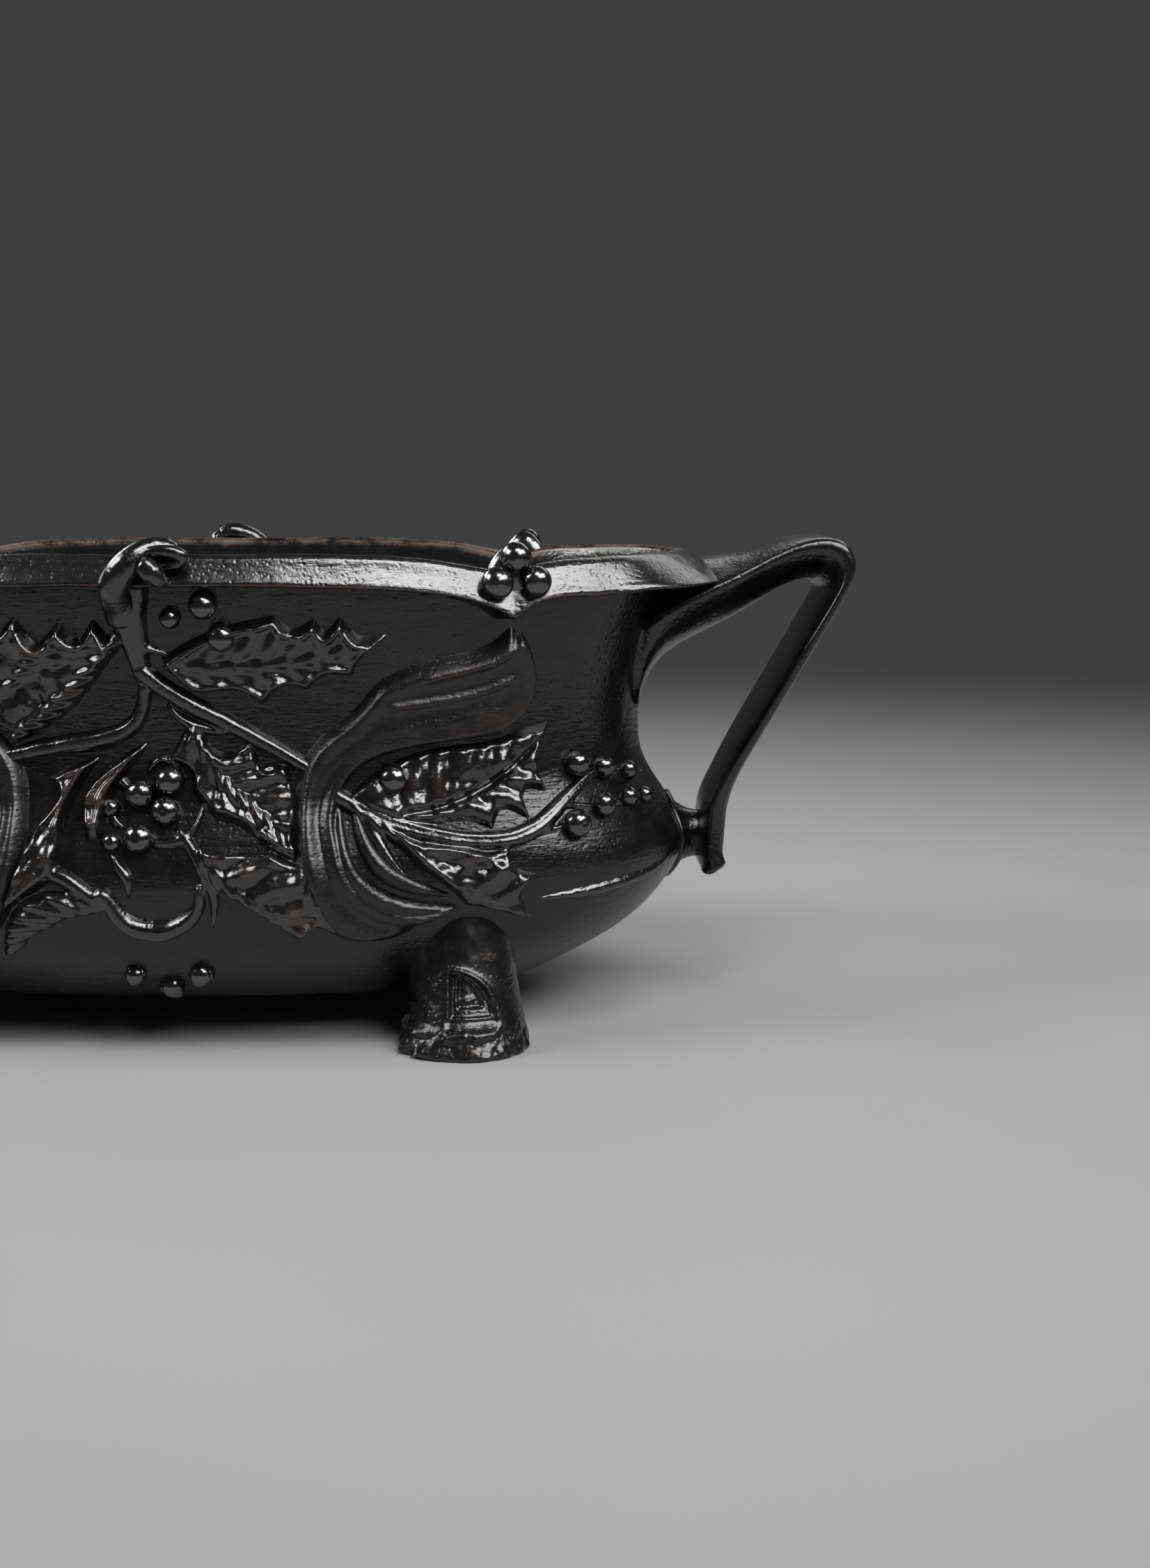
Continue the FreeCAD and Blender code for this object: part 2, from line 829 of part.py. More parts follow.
right_screws = []
for place_name, shank, head in (("upper", upper_shank, upper_head), ("lower", lower_shank, lower_head)):
    seated = cut(f"handle_screw_{place_name}_seated", head, body_shell)
    right_screws.append(fuse(f"handle_screw_{place_name}", [seated, shank]))
right_screw_set = group("handle_screws_right", right_screws)
left_screw_set = mirrored("handle_screws_left", right_screw_set, ACROSS)
nodes["handle_screws"] = group("handle_screws", [right_screw_set, left_screw_set])


# Feet
def circle_sketch(body, name, level, radius, across, depth):
    sketch = body.newObject("Sketcher::SketchObject", name)
    sketch.AttachmentSupport = (origin_plane(body, "XY_Plane"), [""])
    sketch.MapMode = "FlatFace"
    sketch.setExpression("AttachmentOffset.Base.z", level)
    middle = Vector(worth(across), -worth(depth), 0)
    sketch.addGeometry(Part.Circle(middle, Vector(0, 0, 1), worth(radius)), False)
    bound = [
        (Sketcher.Constraint("Radius", 0, worth(radius)), radius),
        (Sketcher.Constraint("DistanceX", -1, 1, 0, 3, middle.x), across),
        (Sketcher.Constraint("DistanceY", 0, 3, -1, 1, -middle.y), depth),
    ]
    for constraint, expression in bound:
        index = sketch.addConstraint(constraint)
        sketch.setExpression(f"Constraints[{index}]", expression)
    return sketch


def make_foot_post():
    """Round flange on the floor with a leaning, tapering post above it."""
    body = doc.addObject("PartDesign::Body", "foot_post")
    middle = ("sizes.foot_x", "sizes.foot_y")
    flange = circle_sketch(body, "foot_flange_circle", "0", "sizes.foot_radius", *middle)
    doc.recompute()
    pad = body.newObject("PartDesign::Pad", "foot_flange_pad")
    pad.Profile = flange
    pad.setExpression("Length", "sizes.foot_flange")
    doc.recompute()
    lower = circle_sketch(
        body,
        "foot_post_low_circle",
        "sizes.foot_flange / 2",
        "sizes.foot_radius - sizes.foot_step",
        *middle,
    )
    upper = circle_sketch(
        body,
        "foot_post_top_circle",
        "sizes.belly_level - sizes.foot_top_drop",
        "sizes.foot_top_radius",
        "sizes.foot_top_x",
        "sizes.foot_top_y",
    )
    doc.recompute()
    loft = body.newObject("PartDesign::AdditiveLoft", "foot_post_loft")
    loft.Profile = lower
    loft.Sections = [upper]
    body.Tip = loft
    doc.recompute()
    return body


def make_foot():
    post = make_foot_post()
    tongue_start = Vector(size("foot_screw_x"), -size("foot_screw_y"), 0)
    tongue_end = Vector(size("foot_x"), -size("foot_y"), 0)
    run = (tongue_end - tongue_start).normalize()
    half = Vector(-run.y, run.x, 0) * (size("foot_tongue_width") / 2)
    nose = tongue_start - run * (size("foot_tongue_width") / 2)
    round_end = Part.Arc(tongue_start + half, nose, tongue_start - half).toShape()
    corners = [tongue_start - half, tongue_end - half, tongue_end + half, tongue_start + half]
    face = loop_face([round_end, *Part.makePolygon(corners).Edges])
    tongue = prism("foot_tongue", [face], UP, "sizes.foot_tongue_thickness")
    tongue.Symmetric = False
    tongue.setExpression("Placement.Base.z", "sizes.base_level - sizes.foot_tongue_thickness")

    radius = size("foot_sail_radius")
    low = size("foot_flange") + size("foot_sail_depth")
    left = size("foot_x") - size("foot_sail_shift")
    corner = Vector(left, 0, low)
    right = Vector(left + radius, 0, low)
    top = Vector(left, 0, low + radius)
    bend = corner + Vector(1, 0, 1).normalize() * radius
    sail_edges = [
        Part.makeLine(corner, right),
        Part.Arc(right, bend, top).toShape(),
        Part.makeLine(top, corner),
    ]
    sail = prism(
        "foot_sail",
        [loop_face(sail_edges)],
        ALONG_DEPTH,
        "sizes.foot_radius + sizes.foot_step + 2 * sizes.foot_sail_depth",
        "0 - sizes.foot_y - 2 * sizes.foot_radius",
    )
    return cut("front_right_foot", fuse("foot_whole", [post, tongue]), outer_form, foot_shank, sail)


CORNERS = {
    "front_right": [],
    "front_left": [ACROSS],
    "back_right": [ALONG_DEPTH],
    "back_left": [ALONG_DEPTH, ACROSS],
}


def four_corners(kind, source):
    """The front right piece and its mirror images, each a node of its own."""
    for corner, normals in CORNERS.items():
        name = f"{corner}_{kind}"
        nodes[name] = mirrored(name, source, *normals) if normals else source
        nodes[name].Label = name


four_corners("foot", make_foot())
front_right_screw = fuse("foot_screw", [foot_shank, foot_head])
screws = [front_right_screw]
for corner, normals in CORNERS.items():
    if normals:
        screws.append(mirrored(f"foot_screw_{corner}", front_right_screw, *normals))
nodes["foot_screws"] = group("foot_screws", screws)


# Relief of the wall
def flat_union(faces):
    """One flat face, or several apart, from overlapping faces of the front elevation."""
    return faces[0].multiFuse(faces[1:]).removeSplitter().Faces if len(faces) > 1 else faces


def flat_cut(faces, tools):
    """Faces less the tools, without scraps smaller than a stem's width squared."""
    left = []
    for face in faces:
        left.extend(face.cut(tools).Faces)
    return [face for face in left if face.Area > size("stem_width") ** 2]


def berry_discs(table_shares, radius):
    """Round windows that berries pass through, in the front elevation."""
    discs = []
    for across, height, radius_share in table_shares:
        ring = Part.makeCircle(radius * radius_share, place((across, height)), ALONG_DEPTH)
        discs.append(Part.Face(Part.Wire([ring])))
    return discs


def relief(name, faces, form):
    """Raised plates: outlines pushed through the front wall, kept between it and a larger form."""
    reach = "2 * sizes.rim_half_depth"
    plates = prism(f"{name}_plates", faces, ALONG_DEPTH, reach, f"0 - {reach}")
    return cut(name, common(f"{name}_kept", plates, form), outer_form)


def strap_face():
    outer = [place(share) for share in STRAP_OUTER_SHARES]
    tip = place(STRAP_TIP_SHARE)
    inner = [place(share) for share in STRAP_INNER_SHARES]
    tongue = place(STRAP_TONGUE_SHARE)
    close = Part.makeLine(tongue, outer[0])
    return loop_face([curve(outer + [tip]), curve([tip] + inner + [tongue]), close])


right_strap_face = strap_face()
left_strap_face = right_strap_face.mirror(Vector(0, 0, 0), ACROSS)
four_corners("strap", relief("front_right_strap", [right_strap_face], strap_form))

spray_faces = [polygon_face([place(share) for share in shares]) for shares in CHEEK_LEAF_SHARES]
for shares in CHEEK_STEM_SHARES:
    spray_faces.append(stem_face(shares, size("stem_width"), STEM_TAPER_SHARE))
spray_windows = berry_discs(CHEEK_BERRY_SHARES, size("berry_radius"))
spray_faces = flat_cut(flat_union(spray_faces), [right_strap_face, *spray_windows])
four_corners("holly_spray", relief("front_right_holly_spray", spray_faces, leaf_form))


def seated_berries(name, shape, seat, table_shares, radius_name, stand_name, *tools):
    """Berries at the places that seat gives, each with its share of the radius, cut by the tools."""
    points = [seat((across, height)) for across, height, radius_share in table_shares]
    radii = [size(radius_name) * radius_share for across, height, radius_share in table_shares]
    balls = berry_balls(shape, points, radii, size(stand_name))
    seated = []
    for index, ball in enumerate(balls):
        seated.append(cut(f"{name}_{index}", solid(f"{name}_ball_{index}", ball), *tools))
    return group(name, seated)


cheek_berries = seated_berries(
    "front_right_spray_berries",
    outer_form.Shape,
    place,
    CHEEK_BERRY_SHARES,
    "berry_radius",
    "berry_stand",
    outer_form,
)
four_corners("spray_berries", cheek_berries)
rim_berries = seated_berries(
    "front_right_rim_berries",
    lip_form.Shape,
    rim_place,
    RIM_BERRY_SHARES,
    "rim_berry_radius",
    "rim_berry_stand",
    rim_lip,
)
four_corners("rim_berries", rim_berries)

# Middle panel, the same on the front and, turned half round, on the back
branch_faces = [polygon_face([place(share) for share in shares]) for shares in BRANCH_LEAF_SHARES]
branch_faces.append(stem_face(TRUNK_SHARES, size("trunk_width"), TRUNK_TAPER_SHARE))
for shares in BRANCH_STEM_SHARES:
    branch_faces.append(stem_face(shares, size("branch_width"), STEM_TAPER_SHARE))
branch_windows = berry_discs(BRANCH_BERRY_SHARES, size("berry_radius"))
branch_faces = flat_cut(flat_union(branch_faces), [right_strap_face, left_strap_face, *branch_windows])
front_branch = relief("front_branch", branch_faces, leaf_form)
front_branch_berries = seated_berries(
    "front_branch_berries",
    outer_form.Shape,
    place,
    BRANCH_BERRY_SHARES,
    "berry_radius",
    "berry_stand",
    outer_form,
)
front_drop_berries = seated_berries(
    "front_drop_berries",
    outer_form.Shape,
    place,
    DROP_BERRY_SHARES,
    "drop_radius",
    "berry_stand",
    outer_form,
)


def make_curl():
    points = [rim_place(share) for share in CURL_SHARES]
    spline = Part.BSplineCurve()
    spline.interpolate(points, PeriodicFlag=True)
    face = Part.Face(Part.Wire([spline.toShape()]))
    start = "0 - sizes.rim_half_depth - sizes.curl_stand"
    plate = prism("curl_plate", [face], ALONG_DEPTH, "sizes.curl_depth + sizes.curl_stand", start)
    return cut("front_rim_curl", plate, body_shell, rim_lip)


MIDDLE_PIECES = {
    "branch": front_branch,
    "branch_berries": front_branch_berries,
    "drop_berries": front_drop_berries,
    "rim_curl": make_curl(),
}
for kind, source in MIDDLE_PIECES.items():
    source.Label = f"front_{kind}"
    nodes[f"front_{kind}"] = source
    nodes[f"back_{kind}"] = mirrored(f"back_{kind}", source, ACROSS, ALONG_DEPTH)

# Zinc liner
LINER_TOP = [f"sizes.neck_{side} - sizes.wall - sizes.liner_neck_gap" for side in OVAL_SIDES]
LINER_FLOOR = [f"sizes.base_{side} - sizes.wall - sizes.liner_floor_gap" for side in OVAL_SIDES]
FLOOR_TOP = "sizes.base_level + sizes.floor_thickness"


def inset(sides):
    return [f"{side} - sizes.liner_sheet" for side in sides]


pan_form = oval_loft(
    "pan_form", [(FLOOR_TOP, *LINER_FLOOR), ("sizes.liner_level", *LINER_TOP)], ruled=True
)
pan_inside = oval_loft(
    "pan_inside",
    [(f"{FLOOR_TOP} + sizes.liner_sheet", *inset(LINER_FLOOR)), ("sizes.liner_level", *inset(LINER_TOP))],
    ruled=True,
)

PIVOT_X = "sizes.neck_half_length - sizes.wall - sizes.liner_neck_gap - sizes.liner_sheet - sizes.lug_reach"
pivot = Vector(worth(PIVOT_X), 0, size("ring_level"))


def depth_rod(name, radius, length, base_x, base_z):
    """Round bar along Y, centred on the middle plane, from expressions."""
    bar = doc.addObject("Part::Cylinder", name)
    bar.setExpression("Radius", radius)
    bar.setExpression("Height", length)
    bar.Placement = FreeCAD.Placement(Vector(0, 0, 0), FreeCAD.Rotation(ACROSS, -90))
    bar.setExpression("Placement.Base.x", base_x)
    bar.setExpression("Placement.Base.y", f"0 - ({length}) / 2")
    bar.setExpression("Placement.Base.z", base_z)
    return bar


def lug_box(name, start_x, width, low, height):
    box = doc.addObject("Part::Box", name)
    box.setExpression("Length", "2 * sizes.lug_reach")
    box.setExpression("Width", width)
    box.setExpression("Height", height)
    box.setExpression("Placement.Base.x", start_x)
    box.setExpression("Placement.Base.y", f"0 - ({width}) / 2")
    box.setExpression("Placement.Base.z", low)
    return box


RIVET_LEVEL = "(sizes.ring_level - sizes.lug_plate_height / 2)"
PAN_END = (
    f"({LINER_FLOOR[0]} + ({LINER_TOP[0]} - ({LINER_FLOOR[0]}))"
    f" * ({RIVET_LEVEL} - ({FLOOR_TOP})) / (sizes.liner_level - ({FLOOR_TOP})))"
)


def rivet_pieces(side):
    """Shank and both heads of one rivet, through the lug's plate and the pan's end wall."""
    depth = f"{side} * (sizes.lug_width + sizes.lug_plate_width) / 4"
    start = f"{PIVOT_X} + sizes.lug_reach / 2 - sizes.lug_plate_thickness - sizes.rivet_head_height"
    length = f"{PAN_END} + sizes.rivet_head_height - ({start})"
    name = "rivet_front" if side < 0 else "rivet_back"
    shank = rod(f"{name}_shank", "sizes.rivet_radius", length, ACROSS, (start, depth, RIVET_LEVEL))
    inner = rod(
        f"{name}_inner_head",
        "sizes.rivet_head_radius",
        "sizes.rivet_head_height + sizes.lug_plate_thickness / 2",
        ACROSS,
        (start, depth, RIVET_LEVEL),
    )
    outer = rod(
        f"{name}_outer_head",
        "sizes.rivet_head_radius",
        "3 * sizes.rivet_head_height",
        ACROSS,
        (f"{PAN_END} - 2 * sizes.rivet_head_height", depth, RIVET_LEVEL),
    )
    return shank, inner, outer


def make_lug():
    """Plate against the pan's end wall with an eye for the ring's bar."""
    eye_radius = "sizes.ring_wire_radius + sizes.ring_clearance + sizes.lug_wall"
    bore_radius = "sizes.ring_wire_radius + sizes.ring_clearance"
    eye = depth_rod("lug_eye", eye_radius, "sizes.lug_width", PIVOT_X, "sizes.ring_level")
    bore = depth_rod("lug_bore", bore_radius, "2 * sizes.lug_width", PIVOT_X, "sizes.ring_level")
    arm_low = f"sizes.ring_level - ({eye_radius})"
    arm = lug_box("lug_arm", PIVOT_X, "sizes.lug_width", arm_low, f"2 * ({eye_radius})")
    plate = lug_box(
        "lug_plate",
        f"{PIVOT_X} + sizes.lug_reach / 2 - sizes.lug_plate_thickness",
        "sizes.lug_plate_width",
        f"sizes.ring_level + {eye_radius} - sizes.lug_plate_height",
        "sizes.lug_plate_height",
    )
    doc.recompute()
    whole = common("lug_whole", fuse("lug_blank", [eye, arm, plate]), pan_inside)
    return whole, bore


def make_ring():
    """Ring of round wire: a straight bar in the lug's eye, rounded corners and a half circle below."""
    radius = size("ring_radius")
    corner = size("ring_corner")
    bar = radius - corner
    bend = corner * math.sqrt(0.5)
    low = pivot + Vector(0, 0, -corner)
    points = {
        "bar_front": pivot + Vector(0, -bar, 0),
        "bar_back": pivot + Vector(0, bar, 0),
        "leg_front": low + Vector(0, -radius, 0),
        "leg_back": low + Vector(0, radius, 0),
        "bend_front": low + Vector(0, -bar - bend, bend),
        "bend_back": low + Vector(0, bar + bend, bend),
        "bottom": low + Vector(0, 0, -radius),
    }
    path = Part.Wire(
        [
            Part.makeLine(points["bar_front"], points["bar_back"]),
            Part.Arc(points["bar_back"], points["bend_back"], points["leg_back"]).toShape(),
            Part.Arc(points["leg_back"], points["bottom"], points["leg_front"]).toShape(),
            Part.Arc(points["leg_front"], points["bend_front"], points["bar_front"]).toShape(),
        ]
    )
    section = Part.Wire([Part.makeCircle(size("ring_wire_radius"), points["bar_front"], ALONG_DEPTH)])
    return solid("right_lifting_ring", path.makePipeShell([section], True, True))


def make_rim_wire():
    """Round wire under the pan's top edge, seated against the pan's outside."""
    body = doc.addObject("PartDesign::Body", "rim_wire_route")
    level = "sizes.liner_level - sizes.liner_wire_radius"
    sides = [f"{side} + sizes.liner_wire_radius / 2" for side in LINER_TOP]
    route = oval_sketch(body, "rim_wire_oval", level, *sides)
    doc.recompute()
    start = route.Shape.Edges[0].Vertexes[0].Point
    run = route.Shape.Edges[0].tangentAt(route.Shape.Edges[0].FirstParameter)
    section = Part.Wire([Part.makeCircle(size("liner_wire_radius"), start, run)])
    path = Part.Wire(Part.__sortEdges__(route.Shape.Edges))
    tube = solid("rim_wire_tube", path.makePipeShell([section], True, True))
    return cut("liner_rim_wire", tube, pan_form)


lug_whole, lug_bore = make_lug()
rivets = [rivet_pieces(side) for side in (-1, 1)]
doc.recompute()
shanks = fuse("rivet_shanks", [pieces[0] for pieces in rivets])
left_shanks = mirrored("rivet_shanks_left", shanks, ACROSS)
nodes["liner_pan"] = cut("liner_pan", pan_form, pan_inside, shanks, left_shanks)
right_lug = cut("liner_right_lug", lug_whole, lug_bore, shanks)
nodes["liner_right_lug"] = right_lug
nodes["liner_left_lug"] = mirrored("liner_left_lug", right_lug, ACROSS)
right_rivets = []
for index, (shank, inner, outer) in enumerate(rivets):
    inner_head = cut(f"rivet_inner_head_{index}", inner, right_lug)
    outer_head = cut(f"rivet_outer_head_{index}", outer, pan_form)
    right_rivets.append(fuse(f"rivet_{index}", [inner_head, outer_head, shank]))
rivet_set = group("rivets_right", right_rivets)
nodes["liner_rivets"] = group("liner_rivets", [rivet_set, mirrored("rivets_left", rivet_set, ACROSS)])
nodes["liner_rim_wire"] = make_rim_wire()
right_ring = make_ring()
nodes["right_lifting_ring"] = right_ring
nodes["left_lifting_ring"] = mirrored("left_lifting_ring", right_ring, ACROSS)

doc.recompute()
for item in doc.Objects:
    if "Invalid" in item.State or "Error" in item.State:
        raise RuntimeError(f"{item.Name} failed: {item.State}")
for name, item in nodes.items():
    item.Label = name
    if item.Shape.isNull() or not item.Shape.isValid() or not item.Shape.Solids:
        raise RuntimeError(f"{name} has no valid solid")

os.makedirs("parts", exist_ok=True)
for name, item in nodes.items():
    item.Shape.exportStep(f"parts/{name}.step")
    print(name, len(item.Shape.Solids), round(item.Shape.Volume))
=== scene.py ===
import math

import bmesh
import bpy
import numpy as np
from mathutils import Matrix, Vector


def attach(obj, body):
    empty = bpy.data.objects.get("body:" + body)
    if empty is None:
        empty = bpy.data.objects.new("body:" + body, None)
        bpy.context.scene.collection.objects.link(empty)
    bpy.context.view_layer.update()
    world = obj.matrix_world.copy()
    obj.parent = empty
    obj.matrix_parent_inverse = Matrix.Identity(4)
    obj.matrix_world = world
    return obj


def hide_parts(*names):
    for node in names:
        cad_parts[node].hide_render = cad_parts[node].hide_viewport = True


# Black cast iron jardiniere with holly relief. Shapes are in millimetres, meshes and studio in metres.
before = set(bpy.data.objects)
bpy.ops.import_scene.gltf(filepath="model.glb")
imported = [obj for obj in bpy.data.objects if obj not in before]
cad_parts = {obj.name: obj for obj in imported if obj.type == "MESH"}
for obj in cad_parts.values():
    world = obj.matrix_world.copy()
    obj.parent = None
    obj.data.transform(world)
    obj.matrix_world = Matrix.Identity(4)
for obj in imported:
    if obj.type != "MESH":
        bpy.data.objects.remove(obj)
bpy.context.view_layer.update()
MM = 0.001

# Wall: level, half length, half depth and end radius of each oval
WALL_OVALS = np.array([
    (14, 122, 64, 56), (30, 150, 82, 70), (45, 164.5, 88.4, 75.8), (58, 170, 90, 78),
    (68, 166.4, 87.2, 77), (77, 160.6, 82.8, 74.4), (86, 155.4, 79.2, 71.6), (96, 153.4, 78, 70.6),
    (107, 153.8, 78.4, 70.8), (130, 160, 82, 73.6), (150, 168, 87, 78), (164, 171, 88.5, 79),
], float)
BASE_LEVEL = 14.0
FLOOR_LEVEL = 20.0
WALL_THICKNESS = 4.5
BELLY_LEVEL = 58.0
# How far a place stays short of the wall's end
HAIR = 0.01

# Lip: oval of its face at a level, its lean, and the flare of its lower edge between two half lengths
LIP_OVAL = (174.0, 92.0, 81.0)
LIP_LEAN_LEVEL = 159.0
LIP_LEAN = 0.04
LIP_FLARE = 9.5
LIP_FLARE_SPAN = (140.0, 169.0)
# Half length and height along its top edge and its lower edge, which drops to a point
RIM_TOP = [
    (0, 160), (61, 160), (90, 158), (104, 155.5), (111.4, 154.5), (119, 156), (136, 158), (190, 158.7),
]
LIP_LOW = [
    (0, 151), (51, 150.6), (80, 149), (95, 146.9), (104, 144.3), (109, 141.8), (111.4, 140.2),
    (114, 142), (119, 145), (134, 147), (155, 148.5), (190, 149.4),
]


def hump(values, width):
    """1 at 0, fading away on both sides."""
    return np.exp(-((values / width) ** 2))


def columns(*values):
    return np.stack(values, axis=-1)


def natural_spline(knots, values):
    """Smooth function through values at knots, with no bend at both ends."""
    steps = np.diff(knots)
    slopes = np.diff(values) / steps
    count = len(knots)
    matrix = np.eye(count)
    right = np.zeros(count)
    for i in range(1, count - 1):
        matrix[i, i - 1 : i + 2] = steps[i - 1], 2 * (steps[i - 1] + steps[i]), steps[i]
        right[i] = 6 * (slopes[i] - slopes[i - 1])
    bends = np.linalg.solve(matrix, right)

    def value(at):
        at = np.clip(np.asarray(at, float), knots[0], knots[-1])
        i = np.clip(np.searchsorted(knots, at) - 1, 0, count - 2)
        h, low, high = steps[i], at - knots[i], knots[i + 1] - at
        cubic = (bends[i] * high**3 + bends[i + 1] * low**3) / (6 * h)
        before = values[i] / h - bends[i] * h / 6
        after = values[i + 1] / h - bends[i + 1] * h / 6
        return cubic + before * high + after * low

    return value


WALL_CURVES = [natural_spline(WALL_OVALS[:, 0], WALL_OVALS[:, column]) for column in (1, 2, 3)]


def wall_sizes(level):
    """Half length, half depth and end radius of the outer wall at a level."""
    return [curve(level) for curve in WALL_CURVES]


def oval_parts(half_length, half_depth, end_radius):
    """Side radius, turning angle of the side arc and length of a quarter of the oval."""
    reach = half_length - end_radius
    side_radius = (reach**2 + half_depth**2 - end_radius**2) / (2 * (half_depth - end_radius))
    turn = np.arctan2(reach, side_radius - half_depth)
    return side_radius, turn, side_radius * turn + end_radius * (math.pi / 2 - turn)


def oval_point(turn, half_length, half_depth, end_radius):
    """Point and outward direction; turn is 0 in front, 1 at the right end, -1 at the left, 2 behind."""
    turn = (np.asarray(turn, float) + 2) % 4 - 2
    side = np.where(turn < 0, -1.0, 1.0)
    share = np.abs(turn)
    front = np.where(share > 1, 1.0, -1.0)
    share = np.where(share > 1, 2 - share, share)
    side_radius, bend, quarter = oval_parts(half_length, half_depth, end_radius)
    run = share * quarter
    on_side = run <= side_radius * bend
    angle = np.where(on_side, run / side_radius, bend + (run - side_radius * bend) / end_radius)
    sine, cosine = np.sin(angle), np.cos(angle)
    x = np.where(on_side, side_radius * sine, half_length - end_radius + end_radius * sine)
    y = np.where(on_side, side_radius * cosine - side_radius + half_depth, end_radius * cosine)
    return side * x, front * y, side * sine, front * cosine


def wall_point(turn, level):
    """Point of the outer wall and its outward direction, slope included."""
    x, y, out_x, out_y = oval_point(turn, *wall_sizes(level))
    above = oval_point(turn, *wall_sizes(level + 0.5))
    below = oval_point(turn, *wall_sizes(level - 0.5))
    slope = (above[0] - below[0]) * out_x + (above[1] - below[1]) * out_y
    length = np.sqrt(1 + slope**2)
    return columns(x, y, level), columns(out_x, out_y, -slope) / length[:, None]


QUARTER = float(oval_parts(*wall_sizes(BELLY_LEVEL))[2])


def flat(points):
    """Places of the front elevation as runs along the wall and levels."""
    points = np.asarray(points, float)
    across, level = points[:, 0], points[:, 1]
    half_length, half_depth, end_radius = wall_sizes(level)
    side_radius, bend, quarter = oval_parts(half_length, half_depth, end_radius)
    reach = np.minimum(np.abs(across), half_length - HAIR)
    on_side = reach <= side_radius * np.sin(bend)
    side_angle = np.arcsin(np.clip(reach / side_radius, 0, 1))
    end_angle = np.arcsin(np.clip((reach - half_length + end_radius) / end_radius, -1, 1))
    on_end = side_radius * bend + end_radius * (end_angle - bend)
    run = np.where(on_side, side_radius * side_angle, on_end)
    return columns(np.sign(across) * run / quarter * QUARTER, level)


def end_reach(side, level):
    """How far the right end of the outer wall reaches at a place beside the middle."""
    half_length, _, end_radius = wall_sizes(level)
    return half_length - end_radius + np.sqrt(np.maximum(end_radius**2 - side**2, 0))


def smooth(low, high, values):
    """0 up to low and 1 from high on, smooth between; low may be the larger."""
    share = np.clip((values - low) / (high - low), 0, 1)
    return share * share * (3 - 2 * share)


def lumps(places, size, seed, waves=9):
    """Gentle unevenness of about the given size, mostly between -1 and 1."""
    random = np.random.default_rng(seed)
    total = np.zeros(len(places))
    for _ in range(waves):
        way = random.normal(size=places.shape[1])
        way *= math.tau / (size * random.uniform(0.7, 1.6) * np.linalg.norm(way))
        total += np.sin(places @ way + random.uniform(0, math.tau))
    return total / math.sqrt(waves) / 1.6


def rounded(points, steps=8):
    """Smooth line through points."""
    points = np.asarray(points, float)
    if len(points) == 2:
        return points[0] + np.linspace(0, 1, steps + 1)[:, None] * (points[1] - points[0])
    gaps = np.sqrt(np.linalg.norm(np.diff(points, axis=0), axis=1))
    runs = np.concatenate([[0], np.cumsum(gaps)])
    spans = [np.linspace(a, b, steps, endpoint=False) for a, b in zip(runs, runs[1:])]
    at = np.concatenate(spans + [runs[-1:]])
    return columns(*[natural_spline(runs, column)(at) for column in points.T])


def line_length(line):
    return np.linalg.norm(np.diff(line, axis=0), axis=1).sum()


def near(line, places):
    """Distance to a line, share of its length there, and the side, 1 on its left."""
    best = np.full(len(places), np.inf)
    share = np.zeros(len(places))
    side = np.ones(len(places))
    pieces = np.diff(line, axis=0)
    lengths = np.linalg.norm(pieces, axis=1)
    starts = np.concatenate([[0], np.cumsum(lengths)])
    for start, piece, length, before in zip(line, pieces, lengths, starts):
        offset = places - start
        along = np.clip(offset @ piece / max(length**2, 1e-9), 0, 1)
        gap = np.linalg.norm(offset - along[:, None] * piece, axis=1)
        closer = gap < best
        best = np.where(closer, gap, best)
        share = np.where(closer, (before + along * length) / starts[-1], share)
        cross = piece[0] * offset[:, 1] - piece[1] * offset[:, 0]
        side = np.where(closer, np.sign(cross), side)
    return best, share, side


def inside(outline, places):
    """True where a place lies in a closed outline."""
    hit = np.zeros(len(places), bool)
    for (x0, y0), (x1, y1) in zip(outline, np.roll(outline, -1, axis=0)):
        spans = (y0 > places[:, 1]) != (y1 > places[:, 1])
        cross = x0 + (places[:, 1] - y0) * (x1 - x0) / (y1 - y0 if y1 != y0 else 1e-9)
        hit ^= spans & (places[:, 0] < cross)
    return hit


def outline_of(runs):
    """Closed outline from smooth runs between sharp corners; each starts where the one before it ends."""
    lines = [rounded(flat([runs[i - 1][-1], *run])) for i, run in enumerate(runs)]
    return np.concatenate([line[:-1] for line in lines])


def edge_depth(outline, places):
    """Distance from a closed outline, below 0 outside it."""
    closed = np.concatenate([outline, outline[:1]])
    return near(closed, places)[0] * np.where(inside(outline, places), 1, -1)


# Meshes: points closer than this many metres are one
MERGE_DISTANCE = 0.00001


def placed(name, data):
    made = bpy.data.objects.new(name, data)
    bpy.context.scene.collection.objects.link(made)
    return made


def new_piece(bm, name, finishes):
    """Object from a bmesh: doubles merged, faces turned outwards and shaded smooth."""
    bmesh.ops.remove_doubles(bm, verts=bm.verts, dist=MERGE_DISTANCE)
    bmesh.ops.dissolve_degenerate(bm, edges=bm.edges, dist=MERGE_DISTANCE / 10)
    bmesh.ops.recalc_face_normals(bm, faces=bm.faces)
    for face in bm.faces:
        face.smooth = True
    mesh = bpy.data.meshes.new(name)
    bm.to_mesh(mesh)
    bm.free()
    for finish in finishes:
        mesh.materials.append(finish)
    return placed(name, mesh)


def grid(bm, steps, rows):
    """Points of a new flat grid, and two shares for each."""
    verts = bmesh.ops.create_grid(bm, x_segments=steps, y_segments=rows, size=0.5)["verts"]
    return verts, np.array([vert.co[:2] for vert in verts]) + 0.5


